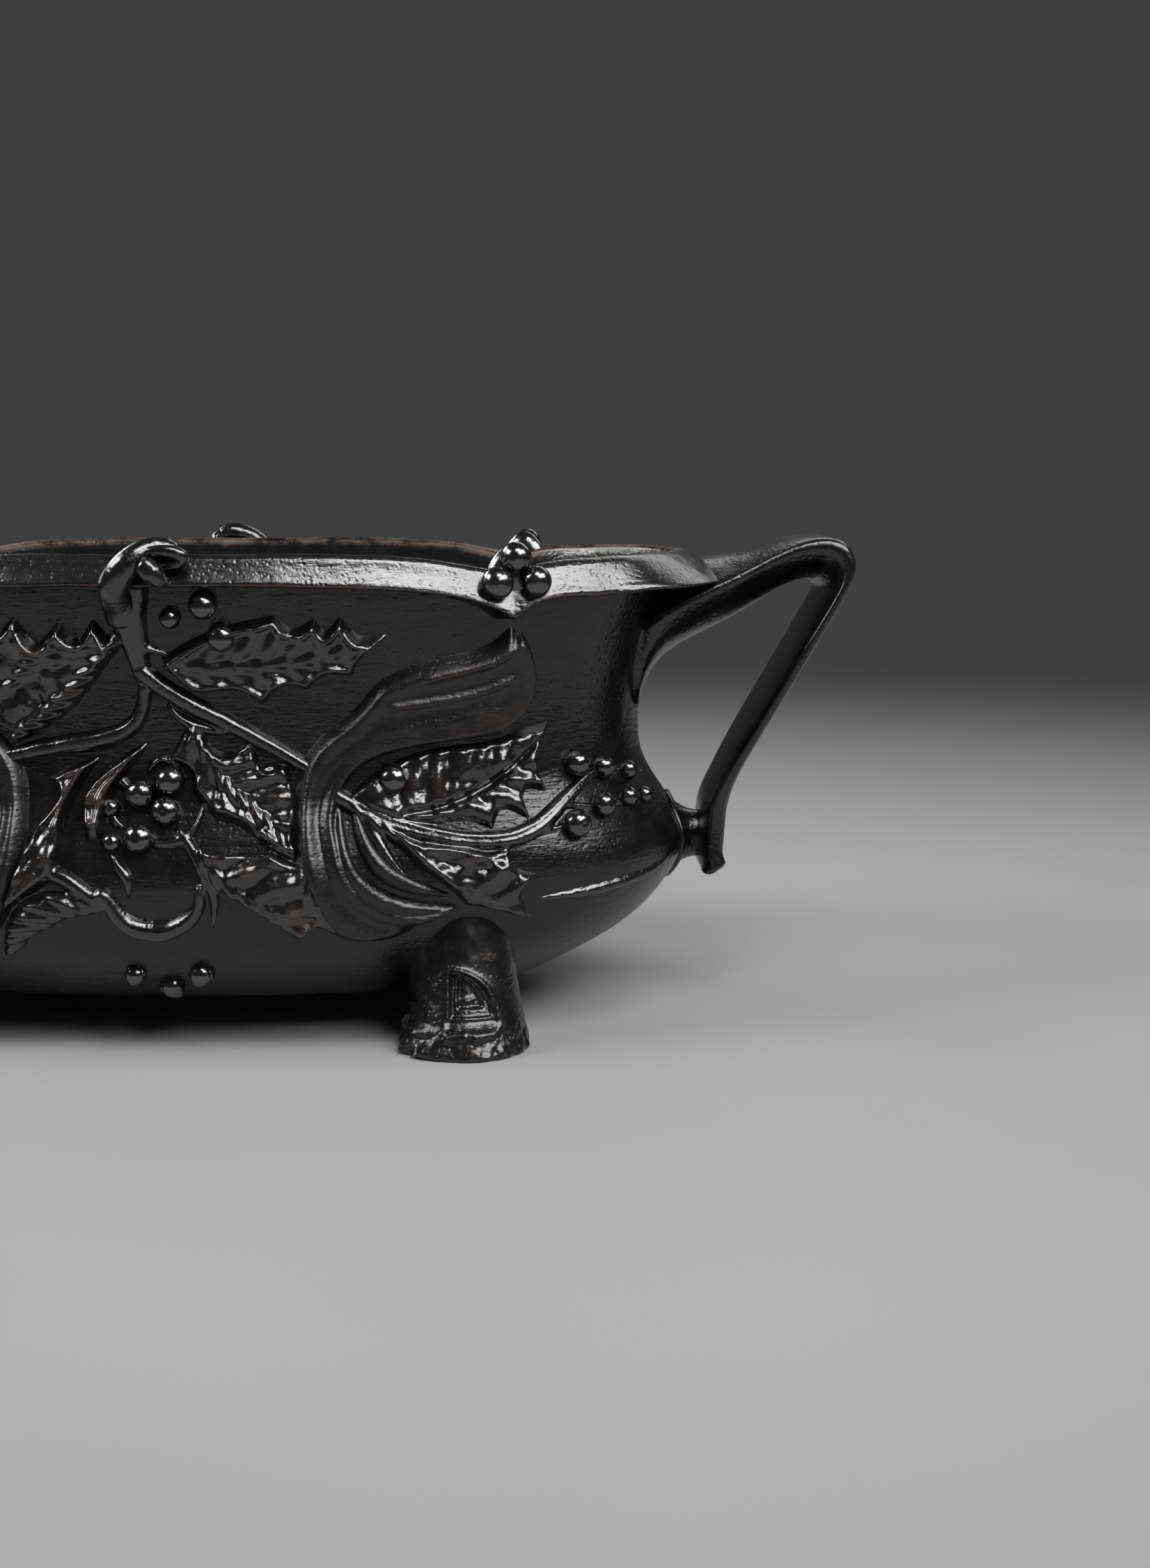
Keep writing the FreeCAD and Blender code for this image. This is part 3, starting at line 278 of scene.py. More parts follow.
def sheet(steps, rows, place, worn=None):
    """Grid whose points are put in place by a function of two shares; worn gives rubbed edges."""
    bm = bmesh.new()
    verts, shares = grid(bm, steps, rows)
    for vert, point in zip(verts, place(*shares.T)):
        vert.co = Vector(point) * MM
    if worn:
        crest = bm.verts.layers.float.new("crest")
        for vert, value in zip(bm.verts, worn(shares[:, 1])):
            vert[crest] = value
    return bm


def extruded(bm, faces):
    """Points of the shell that is drawn out of faces."""
    made = bmesh.ops.extrude_face_region(bm, geom=faces)["geom"]
    return [item for item in made if isinstance(item, bmesh.types.BMVert)]


# Where a piece stands and how it is mirrored there; the first is the one that is modelled
ONE = {"": (1, 1)}
ENDS = {"right_": (1, 1), "left_": (-1, 1)}
HALVES = {"front_": (1, 1), "back_": (-1, -1)}
CORNERS = {"front_right_": (1, 1), "front_left_": (-1, 1), "back_right_": (1, -1), "back_left_": (-1, -1)}


def flipped(piece, name, across, along):
    """Copy of a piece mirrored across the middle planes."""
    mesh = piece.data.copy()
    mesh.name = name
    mesh.transform(Matrix.Diagonal((across, along, 1, 1)))
    if across * along < 0:
        mesh.flip_normals()
    return placed(name, mesh)


def settle(piece, kind, stands):
    """The piece and its mirror images ride on the planter and stand for their CAD nodes."""
    for stand, flip in stands.items():
        node = stand + kind
        copy = piece if flip == (1, 1) else flipped(piece, f"{node}_cast", *flip)
        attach(copy, "planter")
        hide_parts(node)


# Finishes
class Value:
    """A socket of a finish; sums and products on it add Math nodes."""

    def __init__(self, finish, socket):
        self.finish = finish
        self.socket = socket

    def combined(self, operation, other):
        return self.finish.node("ShaderNodeMath", {"operation": operation}, {0: self, 1: other})

    def __add__(self, other):
        return self.combined("ADD", other)

    def __mul__(self, other):
        return self.combined("MULTIPLY", other)

    def between(self, low, high):
        """The same as smooth, as a node."""
        ends = {"Value": self, "From Min": low, "From Max": high}
        return self.finish.node("ShaderNodeMapRange", {"interpolation_type": "SMOOTHSTEP"}, ends)

    __radd__ = __add__
    __rmul__ = __mul__


class Finish:
    """Material with one Principled shader and nodes added one by one."""

    def __init__(self, name, constants):
        self.material = bpy.data.materials.new(name)
        self.material.use_nodes = True
        self.tree = self.material.node_tree
        self.shader = self.tree.nodes["Principled BSDF"]
        for socket, value in constants.items():
            self.shader.inputs[socket].default_value = value
        self.places = self.node("ShaderNodeTexCoord", {}, {}, "Object")

    def node(self, kind, settings, inputs, output=0):
        made = self.tree.nodes.new(kind)
        for key, value in settings.items():
            setattr(made, key, value)
        for key, value in inputs.items():
            self.set(made.inputs[key], value)
        return Value(self, made.outputs[output])

    def set(self, socket, value):
        if isinstance(value, Value):
            self.tree.links.new(value.socket, socket)
        else:
            socket.default_value = value

    def mix(self, factor, first, second):
        inputs = {"Factor": factor, 6: first, 7: second}
        return self.node("ShaderNodeMix", {"data_type": "RGBA"}, inputs, 2)

    def noise(self, scale, detail=3.0, roughness=0.55, stretch=None):
        places = self.places
        if stretch:
            places = self.node("ShaderNodeMapping", {}, {"Vector": places, "Scale": stretch})
        inputs = {"Vector": places, "Scale": scale, "Detail": detail, "Roughness": roughness}
        return self.node("ShaderNodeTexNoise", {}, inputs)

    def cells(self, scale, output="Distance"):
        return self.node("ShaderNodeTexVoronoi", {}, {"Vector": self.places, "Scale": scale}, output)

    def attribute(self, name):
        return self.node("ShaderNodeAttribute", {"attribute_name": name}, {}, "Fac")

    def wear(self, color, roughness, height, depth, strength):
        """Links what changes over the surface."""
        self.set(self.shader.inputs["Base Color"], color)
        self.set(self.shader.inputs["Roughness"], roughness)
        inputs = {"Height": height, "Distance": depth, "Strength": strength}
        self.set(self.shader.inputs["Normal"], self.node("ShaderNodeBump", {}, inputs))
        return self.material


BLACK = (0.0028, 0.0028, 0.0030, 1)
SMOKE = (0.0075, 0.0073, 0.0070, 1)
RUST = (0.068, 0.038, 0.024, 1)
# Grain that is left where a piece is fine, and the height over which the coarse grain fades
FINE_GRAIN = 0.2
FINE_FADE = 0.012


def iron_finish(name, rust, grain, streaks, crest, rough, gloss, fine_above=None):
    """Gloss black paint over sand-cast iron, brown where it is rubbed through."""
    finish = Finish(name, {"IOR": gloss})
    if fine_above:
        level = finish.node("ShaderNodeSeparateXYZ", {}, {"Vector": finish.places}, "Z")
        grain = level.between(fine_above + FINE_FADE, fine_above) * grain + FINE_GRAIN
    sand = finish.noise(620, 4, 0.6)
    peel = finish.noise(150, 2, 0.5)
    pits = finish.cells(480).between(0.05, 0.42)
    brushed = finish.noise(85, 4, 0.6, (1.0, 1.0, 6.0))
    patches = finish.noise(75, 6, 0.66)
    height = sand * (0.5 * grain) + peel * 0.9 + pits * (0.3 * grain) + brushed * streaks
    rubbed = patches.between(rust, rust + 0.07)
    if crest:
        worn = finish.attribute("crest")
        edges = worn.between(0.8, 1.15) * patches.between(0.40, 0.58) * crest
        rubbed = rubbed * worn.between(0.3, 0.9) * 0.6 + edges
    specks = finish.cells(140).between(0.10, 0.04) * finish.noise(60, 2).between(0.55, 0.62)
    brown = rubbed * 0.8 + specks * 0.3
    paint = finish.mix(peel.between(0.35, 0.75), BLACK, SMOKE)
    roughness = rough + sand * 0.09 + brown * 0.30 + brushed * 0.06
    return finish.wear(finish.mix(brown, paint, RUST), roughness, height, 0.0005, 0.5)


# Each iron: where rust starts, grain, streaks, rubbed crests, roughness, gloss, where it turns fine
IRONS = {
    "wall": (0.70, 1.0, 1.3, 0, 0.17, 1.58),
    "relief": (0.62, 0.8, 0.35, 0.35, 0.12, 1.85),
    "strap": (0.66, 0.9, 0.9, 0.2, 0.24, 1.6),
    "berry": (0.68, 0.35, 0.1, 0, 0.09, 2.1),
    "lip": (0.60, 0.9, 0.7, 0.9, 0.15, 1.85),
    "handle": (0.69, 1.0, 0.4, 0, 0.17, 1.65),
    "foot": (0.64, 1.2, 0.1, 0, 0.18, 1.65, 0.022),
    "inner": (0.56, 2.0, 0.1, 0, 0.38, 1.5),
}
iron = {kind: iron_finish(f"{kind}_iron", *row) for kind, row in IRONS.items()}


def cast(bm, kind, stands, finish):
    """Iron piece and its mirror images."""
    name = f"{next(iter(stands))}{kind}_cast"
    settle(new_piece(bm, name, [iron[finish]]), kind, stands)


# Bowl: shares along its skin at which the underside, outer wall, rim and inner wall end
UNDER_END, OUTER_END, RIM_END, INNER_END = 0.06, 0.54, 0.57, 0.94
# Where the rim's height is read, how far the bowl stops below it, and lumps outside and inside
RIM_LEVEL = 157.0
RIM_DROP = 1.2
OUTER_LUMPS = 0.16
INNER_LUMPS = 0.45
# Faces above this level in metres that look in or up belong to the inside
INSIDE_LEVEL = 0.0195


def rim_top(across):
    """Height of the lip's top edge."""
    return natural_spline(*np.array(RIM_TOP, float).T)(np.abs(across))


def lip_low(across):
    """Height of the lip's lower edge: smooth on both sides of its point."""
    table = np.array(LIP_LOW, float)
    point = int(np.argmin(table[:, 1]))
    middle = natural_spline(*table[: point + 1].T)
    end = natural_spline(*table[point:].T)
    reach = np.abs(across)
    return np.where(reach < table[point, 0], middle(reach), end(reach))


def bowl_place(around, along):
    """Underside, outer wall, rim, inner wall and floor, in this order along the second share."""
    turn = around * 4 - 2
    top = rim_top(oval_point(turn, *wall_sizes(RIM_LEVEL))[0]) - RIM_DROP
    rising = np.interp(along, [UNDER_END, OUTER_END], [0, 1])
    going_in = np.interp(along, [OUTER_END, RIM_END], [0, 1])
    sinking = np.interp(along, [RIM_END, INNER_END], [0, 1])
    shrink = np.interp(along, [0, UNDER_END, INNER_END, 1], [0, 1, 1, 0])
    outside = BASE_LEVEL + (top - BASE_LEVEL) * rising
    level = np.where(along < RIM_END, outside, top + (FLOOR_LEVEL - top) * sinking)
    points, out = wall_point(turn, level)
    points = points - out * (going_in * WALL_THICKNESS)[:, None]
    rough = np.where(going_in > 0.5, INNER_LUMPS, OUTER_LUMPS)
    uneven = lumps(points, 17, 3) * rough * 0.6 + lumps(points, 8, 4) * rough * 0.4
    points = points + out * uneven[:, None]
    points[along < UNDER_END, 2] = BASE_LEVEL
    points[along > INNER_END, 2] = FLOOR_LEVEL
    points[:, :2] *= shrink[:, None]
    return points


bowl = new_piece(sheet(400, 170, bowl_place), "bowl_cast", [iron["wall"], iron["inner"]])
for polygon in bowl.data.polygons:
    middle, normal = polygon.center, polygon.normal
    looks_in = normal.xy.dot(middle.xy) < -0.2 * middle.xy.length
    if middle.z > INSIDE_LEVEL and (looks_in or normal.z > 0.9):
        polygon.material_index = 1
settle(bowl, "body_shell", ONE)

# Section of the lip from inside over the top and down the face: what it follows, share of the lip's
# height, stand from it and how much it is rubbed
LIP_SECTION = [
    ("wall", 0.20, -5.4, 0.0), ("wall", 0.72, -5.7, 0.9), ("wall", 0.92, -5.4, 1.2),
    ("wall", 1.00, -4.4, 1.2), ("wall", 1.03, -2.4, 1.1), ("lip", 1.01, -4.2, 0.8),
    ("lip", 0.96, -3.2, 0.6), ("lip", 0.88, -2.5, 0.4), ("lip", 0.80, -2.1, 0.3),
    ("lip", 0.64, -1.5, 0.2), ("lip", 0.46, -0.7, 0.2), ("lip", 0.28, 0.2, 0.2),
    ("lip", 0.12, 1.1, 0.5), ("lip", 0.02, 1.3, 1.1), ("lip", -0.05, 0.1, 0.9),
    ("wall", -0.03, 2.2, 0.2), ("wall", 0.02, -1.0, 0.0),
]


def lip_place(around, along):
    """Closed section of the lip carried round the mouth; its lower edge flares out at the handles."""
    turn = around * 4 - 2
    across = oval_point(turn, *LIP_OVAL)[0]
    low, high = lip_low(across), rim_top(across)
    flare = LIP_FLARE * smooth(*LIP_FLARE_SPAN, np.abs(across))
    section = []
    for follows, share, stand, _ in LIP_SECTION:
        level = low + (high - low) * share
        if follows == "wall":
            base, out = wall_point(turn, level)
            out = out * [1, 1, 0]
            reach = np.full_like(level, stand)
        else:
            lean = (LIP_LEAN_LEVEL - level) * LIP_LEAN
            x, y, out_x, out_y = oval_point(turn, *[size + lean for size in LIP_OVAL])
            base, out = columns(x, y, level), columns(out_x, out_y, 0 * out_x)
            reach = stand + flare * min(1 - share, 1)
        section.append(base + out * reach[:, None])
    section = np.array(section + section[:1])
    at = along * (len(section) - 1)
    index = np.clip(at.astype(int), 0, len(section) - 2)
    rows = np.arange(len(at))
    share = (at - index)[:, None]
    points = section[index, rows] * (1 - share) + section[index + 1, rows] * share
    points[:, 2] += lumps(points, 9, 11) * 0.10 + lumps(points, 22, 12) * 0.15
    return points


def lip_worn(along):
    values = [row[3] for row in LIP_SECTION + LIP_SECTION[:1]]
    return np.interp(along, np.linspace(0, 1, len(values)), values)


cast(sheet(720, 3 * len(LIP_SECTION), lip_place, lip_worn), "rim_lip", ONE, "lip")

# Relief: height of its outline from the wall's skin, how much deeper its back lies, the least rise that
# is kept, and the distance between the slanting folds of a leaf
SKIRT = -1.0
BACK_DEPTH = 0.6
LEAST_RISE = 0.12
FOLD_PITCH = 9.5


class Relief:
    """Raised work on a stretch of the wall, worked out on a fine grid of runs and levels."""

    def __init__(self, low, high, step):
        self.low = np.array(low, float)
        self.size = np.array(high, float) - self.low
        self.counts = np.ceil(self.size / step).astype(int)
        x, y = np.meshgrid(*[np.linspace(0, 1, n + 1) for n in self.counts])
        self.places = columns(x.ravel(), y.ravel()) * self.size + self.low
        self.rise = np.full(len(self.places), SKIRT)

    def near_box(self, line, margin):
        low, high = line.min(axis=0) - margin, line.max(axis=0) + margin
        return np.nonzero(np.all((self.places > low) & (self.places < high), axis=1))[0]

    def put(self, rows, rise):
        self.rise[rows] = np.maximum(self.rise[rows], rise)

    def stem(self, points, start, end, middle=None, lift=0.0, twist=0.0, pitch=5.0, groove=0.0):
        """Round stem that tapers from one radius to another, twisted or grooved if asked."""
        line = rounded(flat(points))
        rows = self.near_box(line, 9.0)
        gap, share, side = near(line, self.places[rows])
        swell = start + (end - start) * share
        if middle:
            swell = swell + (middle - (start + end) / 2) * np.sin(math.pi * share)
        swell = swell * (1 + 0.05 * lumps(self.places[rows], 10.0, 17))
        length = line_length(line)
        wave = np.sin(math.tau * (share * length + 1.5 * gap * side) / pitch)
        part = np.clip(gap / (1.25 * swell + 0.3 * twist * wave), 0, 1)
        crown = 0.7 * lift + swell + twist * wave
        crease = groove * hump(gap, 0.28 * swell)
        self.put(rows, SKIRT + (crown - SKIRT) * np.sqrt(1 - part**2) - crease)

    def leaf(self, runs, rib, rise, groove, ridge, fold, step, rim, dome, seed):
        """Holly leaf: smooth runs between its spines, a rib, slanting folds and a rolled edge."""
        outline = outline_of(runs)
        rows = self.near_box(outline, 4.0)
        places = self.places[rows]
        edge = edge_depth(outline, places)
        line = rounded(flat(rib))
        gap, share, side = near(line, places)
        length = line_length(line)
        body = SKIRT + (rise - SKIRT) * smooth(-1.3, 1.5, edge)
        half = np.clip(edge / np.maximum(edge + gap, 0.1), 0, 1)
        swell = dome * np.sin(math.pi * half)
        slant = np.sin(math.tau * (share * length - 0.7 * gap) / FOLD_PITCH)
        folds = fold * slant * smooth(0.3, 3.0, gap)
        middle = ridge * hump(gap, 1.5) - groove * hump(gap, 0.9)
        middle += step * side * np.exp(-gap / 4.0) * smooth(0, 0.8, gap)
        bumps = 0.30 * lumps(places, 5.0, seed) + 0.45 * lumps(places, 11.0, seed + 50)
        rolled = rim * hump(edge - 1.4, 1.1)
        self.put(rows, body + smooth(-0.3, 2.2, edge) * (swell + folds + middle + bumps) + rolled)

    def ridge(self, points, width, height):
        """Raised line on what is already there."""
        line = rounded(flat(points))
        rows = self.near_box(line, 4 * width)
        gap, share, _ = near(line, self.places[rows])
        ends = smooth(0, 0.08, share) * smooth(1, 0.92, share)
        self.rise[rows] += height * ends * hump(gap, width) * (self.rise[rows] > SKIRT)

    def soften(self, passes):
        field = self.rise.reshape(self.counts[1] + 1, self.counts[0] + 1)
        for _ in range(passes):
            wide = np.pad(field, 1, mode="edge")
            cross = wide[:-2, 1:-1] + wide[2:, 1:-1] + wide[1:-1, :-2] + wide[1:-1, 2:]
            field = 0.5 * field + 0.125 * cross
        self.rise = field.ravel()

    def dress(self, leaves, ridges, stems):
        """Leaves, raised lines on what is there and stems, all lightly softened."""
        for leaf in leaves:
            self.leaf(*leaf)
        for ridge in ridges:
            self.ridge(*ridge)
        for stem in stems:
            self.stem(*stem)
        self.soften(2)

    def shell(self, top):
        """Closed mesh of what stands above the skirt; at the top height it is rubbed."""
        bm = bmesh.new()
        shares = grid(bm, *self.counts)[1]
        column, row = np.rint(shares * self.counts).astype(int).T
        index = row * (self.counts[0] + 1) + column
        rise = self.rise[index]
        places = self.places[index]
        points, out = wall_point(places[:, 0] / QUARTER, places[:, 1])
        crest = bm.verts.layers.float.new("crest")
        depth = bm.verts.layers.float_vector.new("depth")
        front = (points + out * rise[:, None]) * MM
        back = -out * ((rise - SKIRT + BACK_DEPTH) * MM)[:, None]
        for i, vert in enumerate(bm.verts):
            vert.co = front[i]
            vert[crest] = rise[i] / top
            vert[depth] = back[i]
        low = [vert for vert, height in zip(bm.verts, rise) if height < SKIRT + LEAST_RISE]
        bmesh.ops.delete(bm, geom=low, context="VERTS")
        loose = [vert for vert in bm.verts if not vert.link_faces]
        bmesh.ops.delete(bm, geom=loose, context="VERTS")
        for vert in extruded(bm, bm.faces[:]):
            vert.co += vert[depth]
        bm.verts.layers.float_vector.remove(depth)
        return bm


# Whiplash strap: its long edges, ridges (points, width, height) and stems (points, start, end and middle
# radius, lift, twist, pitch, groove; the last ones may be left out)
STRAP_OUTER = [
    (110.9, 138.2), (103, 132), (90, 128.5), (77, 124.7), (68, 120), (60, 111), (50, 103), (44, 94.7),
    (41.7, 85), (41.5, 72), (43, 59.5), (47, 47.8), (54, 39), (66, 36.2), (80, 40), (93, 47.6),
]
STRAP_INNER = [
    (93, 47.6), (76, 47.8), (65.7, 52), (59, 59), (56, 68), (54.8, 76), (57, 85), (62, 92), (70, 96.4),
    (81, 99), (94, 101), (107, 104), (115, 112), (117.4, 122), (116, 131),
]
STRAP_RIDGES = [
    ([(70, 112), (80, 113.2), (92, 115), (103, 118), (112, 122.5)], 1.3, 1.3),
    ([(64, 104), (74, 105.5), (90, 107.5), (104, 111)], 2.2, 0.4),
    ([(82, 121), (94, 124), (104, 127), (111, 131)], 1.5, 1.3),
]
STRAP_STEMS = [
    ([(60.8, 80), (62.4, 74), (66.4, 65.5), (74.8, 57.8), (90, 52.2)], 1.2, 0.7, 2.7, 0.7),
    ([(56, 79), (57.2, 69), (60.4, 60.2), (67, 53), (77.6, 48.8), (92, 47.8)], 1.2, 0.8, 2.6, 2.0),
]
STRAP_RISE = 4.2
STRAP_WIDTH = 9.0


def strap_piece():
    """Whiplash band: upper tongue, outer bow and a lower sickle with two raised lines."""
    work = Relief((34, 32), (134, 144), 0.6)
    places = work.places
    edge = edge_depth(outline_of([STRAP_OUTER[1:], STRAP_INNER[1:], STRAP_OUTER[:1]]), places)
    inner_gap, inner_share, _ = near(rounded(flat(STRAP_INNER)), places)
    outer_gap = near(rounded(flat(STRAP_OUTER)), places)[0]
    steep = smooth(-0.7, 0.8, edge)
    soft = smooth(-0.9, 5.0, edge)
    by_inner = smooth(2.0, -2.0, inner_gap - outer_gap)
    within = smooth(0, 2, edge)
    body = SKIRT + (STRAP_RISE - SKIRT) * (steep * by_inner + soft * (1 - by_inner))
    body += 0.5 * np.sin(math.pi * np.clip(edge / STRAP_WIDTH, 0, 1)) * within
    low_half = smooth(0.50, 0.36, inner_share)
    body -= 2.0 * hump(inner_gap - 5.2, 2.2) * within * low_half
    tongue = smooth(0.52, 0.70, inner_share)
    body += 0.9 * tongue * hump(inner_gap, 4.5) * smooth(-0.3, 0.8, edge)
    body += 0.16 * lumps(places, 12, 21) * within
    work.put(np.arange(len(places)), body)
    work.dress([], STRAP_RIDGES, STRAP_STEMS)
    cast(work.shell(5.0), "strap", CORNERS, "strap")


strap_piece()

# Holly spray of the cheek, two leaves on a grooved stem with thin twigs: outlines and ribs of the leaves
CHEEK_LEAF = [
    [(66, 89.5), (78.6, 96.0), (92, 98.6), (104, 100), (114, 103), (122.8, 105.4)],
    [(118.2, 95), (121.6, 83.0)], [(114.4, 83.6), (116.4, 74.8)], [(107.6, 78.4), (104.4, 72.6)],
    [(95, 75.4), (85, 74.6), (72, 76.2), (58, 82.5)],
]
CHEEK_LEAF_RIB = [(76, 77), (88, 79.4), (98, 83.4), (107, 89), (115, 96.4), (121.5, 104)]
FOLDED_LEAF = [
    [(82, 69), (90, 67.6), (97, 67.2)], [(103, 65.4), (109.5, 66.6)], [(111.5, 60.5), (119, 57.4)],
    [(113.4, 52.4), (116.5, 42.4)], [(106, 46.4), (96, 48.8)], [(91, 54.4), (80, 63.4), (70, 74)],
]
FOLDED_LEAF_RIB = [(71, 73), (84, 63.6), (96, 55.4), (107, 48), (115, 42.6)]
# Outline, rib, rise, groove, ridge, fold, step, rolled rim, dome and seed of each leaf
SPRAY_LEAVES = [
    (CHEEK_LEAF, CHEEK_LEAF_RIB, 2.2, 1.6, 0.0, 0.5, 0.7, 0.3, 1.6, 31),
    (FOLDED_LEAF, FOLDED_LEAF_RIB, 2.2, 0.0, 1.6, 0.6, 0.0, 0.5, 1.6, 33),
]
SPRAY_RIDGES = [
    ([(82, 69), (92, 66), (102, 63), (109, 59)], 1.5, 1.2),
    ([(86, 62.4), (96, 61.4), (104, 60)], 1.2, -0.9),
]
SPRAY_STEMS = [
    ([(52, 84.6), (58, 81.6), (65, 78), (73, 74.6), (83, 71.8), (94, 69.6), (107, 69), (118, 72),
      (126, 78.4), (131, 82.8), (136, 86.4), (141, 87)], 2.6, 1.2, 2.4, 0.9, 0.0, 5.0, 0.7),
    ([(51, 85.4), (55, 83.4), (61, 80.6)], 2.0, 2.0, 3.0, 1.4),
    ([(112, 69.8), (120, 70.4), (128, 72)], 1.1, 0.8),
    ([(126, 78.2), (132, 77.4), (139, 76.4), (148, 76.8), (154, 76.4)], 1.2, 0.7),
    ([(136, 86.5), (141, 87.3), (148, 85.2), (154, 83.8)], 1.1, 0.7),
    ([(60, 80), (70, 73.4), (80, 66.8), (90, 59.4), (100, 52.6), (109, 46.4)],
     2.0, 0.8, 1.9, 1.3, 0.3, 6.0),
    ([(62, 80), (67, 83.4), (71, 86)], 1.5, 1.0),
    ([(60, 80.5), (66, 73.4), (72, 64.6), (77, 58.5), (82, 54)], 1.9, 0.7, 1.8, 0.3),
    ([(120, 49.0), (128, 49.5), (136.5, 50.0), (148, 51.4), (158, 53.4), (164, 57)],
     0.8, 0.5, 1.7, 0.0),
]
spray = Relief((46, 38), (205, 112), 0.55)
spray.dress(SPRAY_LEAVES, SPRAY_RIDGES, SPRAY_STEMS)
cast(spray.shell(4.4), "holly_spray", CORNERS, "relief")

# Branch of the middle panel, with six leaves and twisted stems: outlines and ribs of the leaves
UPPER_RIGHT_LEAF = [
    [(18, 136.5), (37.7, 141)], [(43, 137.0), (49.5, 140)], [(53, 136.2), (57.5, 140.6)],
    [(63, 134.8), (72, 134.8)], [(63.5, 127.8), (60.5, 122)], [(52.5, 122.6), (46.5, 118)],
    [(39, 119), (33, 113.6)], [(23, 118), (12, 117.5), (2, 128)],
]
UPPER_RIGHT_RIB = [(4, 126.5), (20, 125.6), (40, 127), (58, 130.6), (71, 134.2)]
UPPER_LEFT_LEAF = [
    [(-15, 135), (-18.8, 140)], [(-24, 134.0), (-30, 139)], [(-37, 132.4), (-43.5, 140.8)],
    [(-50, 136), (-58, 141.5)], [(-53.5, 126), (-61, 112)], [(-52, 107), (-45, 103.5)],
    [(-33, 112), (-22, 121), (-13, 130)],
]
UPPER_LEFT_RIB = [(-14, 131), (-26, 129), (-38, 126), (-48, 118), (-58, 108)]
DROOPING_LEAF = [
    [(5.5, 99.5), (2.6, 95.2)], [(9, 92), (10.2, 85.4)], [(13.5, 82), (17, 77.6)],
    [(25, 75.4), (32, 70.2), (42, 65)], [(42.8, 75), (42, 85), (38.8, 94.4)],
    [(32.7, 92.4), (28.4, 101.6)], [(20, 97.4), (10, 105.6)],
]
DROOPING_RIB = [(10, 104.6), (15, 95.7), (19, 88.6), (25.2, 82.4), (32, 76.6), (41.6, 67)]
LOW_RIGHT_LEAF = [
    [(24, 66.8), (35.6, 67)], [(40, 64), (47, 63.6)], [(46.5, 52), (57, 41)],
    [(50.5, 43.6), (43.5, 39.4)], [(30, 49), (20, 56.6), (12.5, 68)],
]
LOW_RIGHT_RIB = [(13.5, 67), (19, 59.4), (28.8, 53), (38, 46), (43.6, 40.4)]
INNER_LEFT_LEAF = [
    [(-14, 95), (-21, 89)], [(-24.5, 82), (-24, 74)], [(-20.6, 72), (-17.4, 73)],
    [(-16.5, 81), (-12.6, 89), (-4.6, 100.6)],
]
INNER_LEFT_RIB = [(-5.6, 99.4), (-13.4, 92), (-18.4, 86.6), (-20.4, 81), (-20.8, 74)]
OUTER_LEFT_LEAF = [
    [(-28, 93.4), (-35.6, 89.4)], [(-32, 83.5), (-38.6, 74.6)], [(-43, 66), (-50, 48)],
    [(-40, 54.6), (-33, 59.4)], [(-30.5, 68), (-29, 80), (-20, 96)],
]
OUTER_LEFT_RIB = [(-21.5, 95), (-29, 85), (-33.4, 74), (-37.6, 63.6), (-48.6, 49.4)]
BRANCH_LEAVES = [
    (UPPER_RIGHT_LEAF, UPPER_RIGHT_RIB, 2.2, 0.0, 1.8, 0.6, 0.0, 1.7, 1.6, 41),
    (UPPER_LEFT_LEAF, UPPER_LEFT_RIB, 2.2, 0.0, 1.4, 0.6, 0.0, 1.9, 1.6, 42),
    (DROOPING_LEAF, DROOPING_RIB, 2.0, 0.0, 0.0, 0.8, 0.0, 0.8, 1.6, 43),
    (LOW_RIGHT_LEAF, LOW_RIGHT_RIB, 2.2, 0.0, 0.0, 0.9, 0.0, 1.0, 1.8, 44),
    (INNER_LEFT_LEAF, INNER_LEFT_RIB, 2.8, 0.0, 1.2, 0.2, 0.6, 0.6, 2.0, 45),
    (OUTER_LEFT_LEAF, OUTER_LEFT_RIB, 2.4, 0.0, 1.8, 0.7, 0.0, 0.7, 1.8, 46),
]
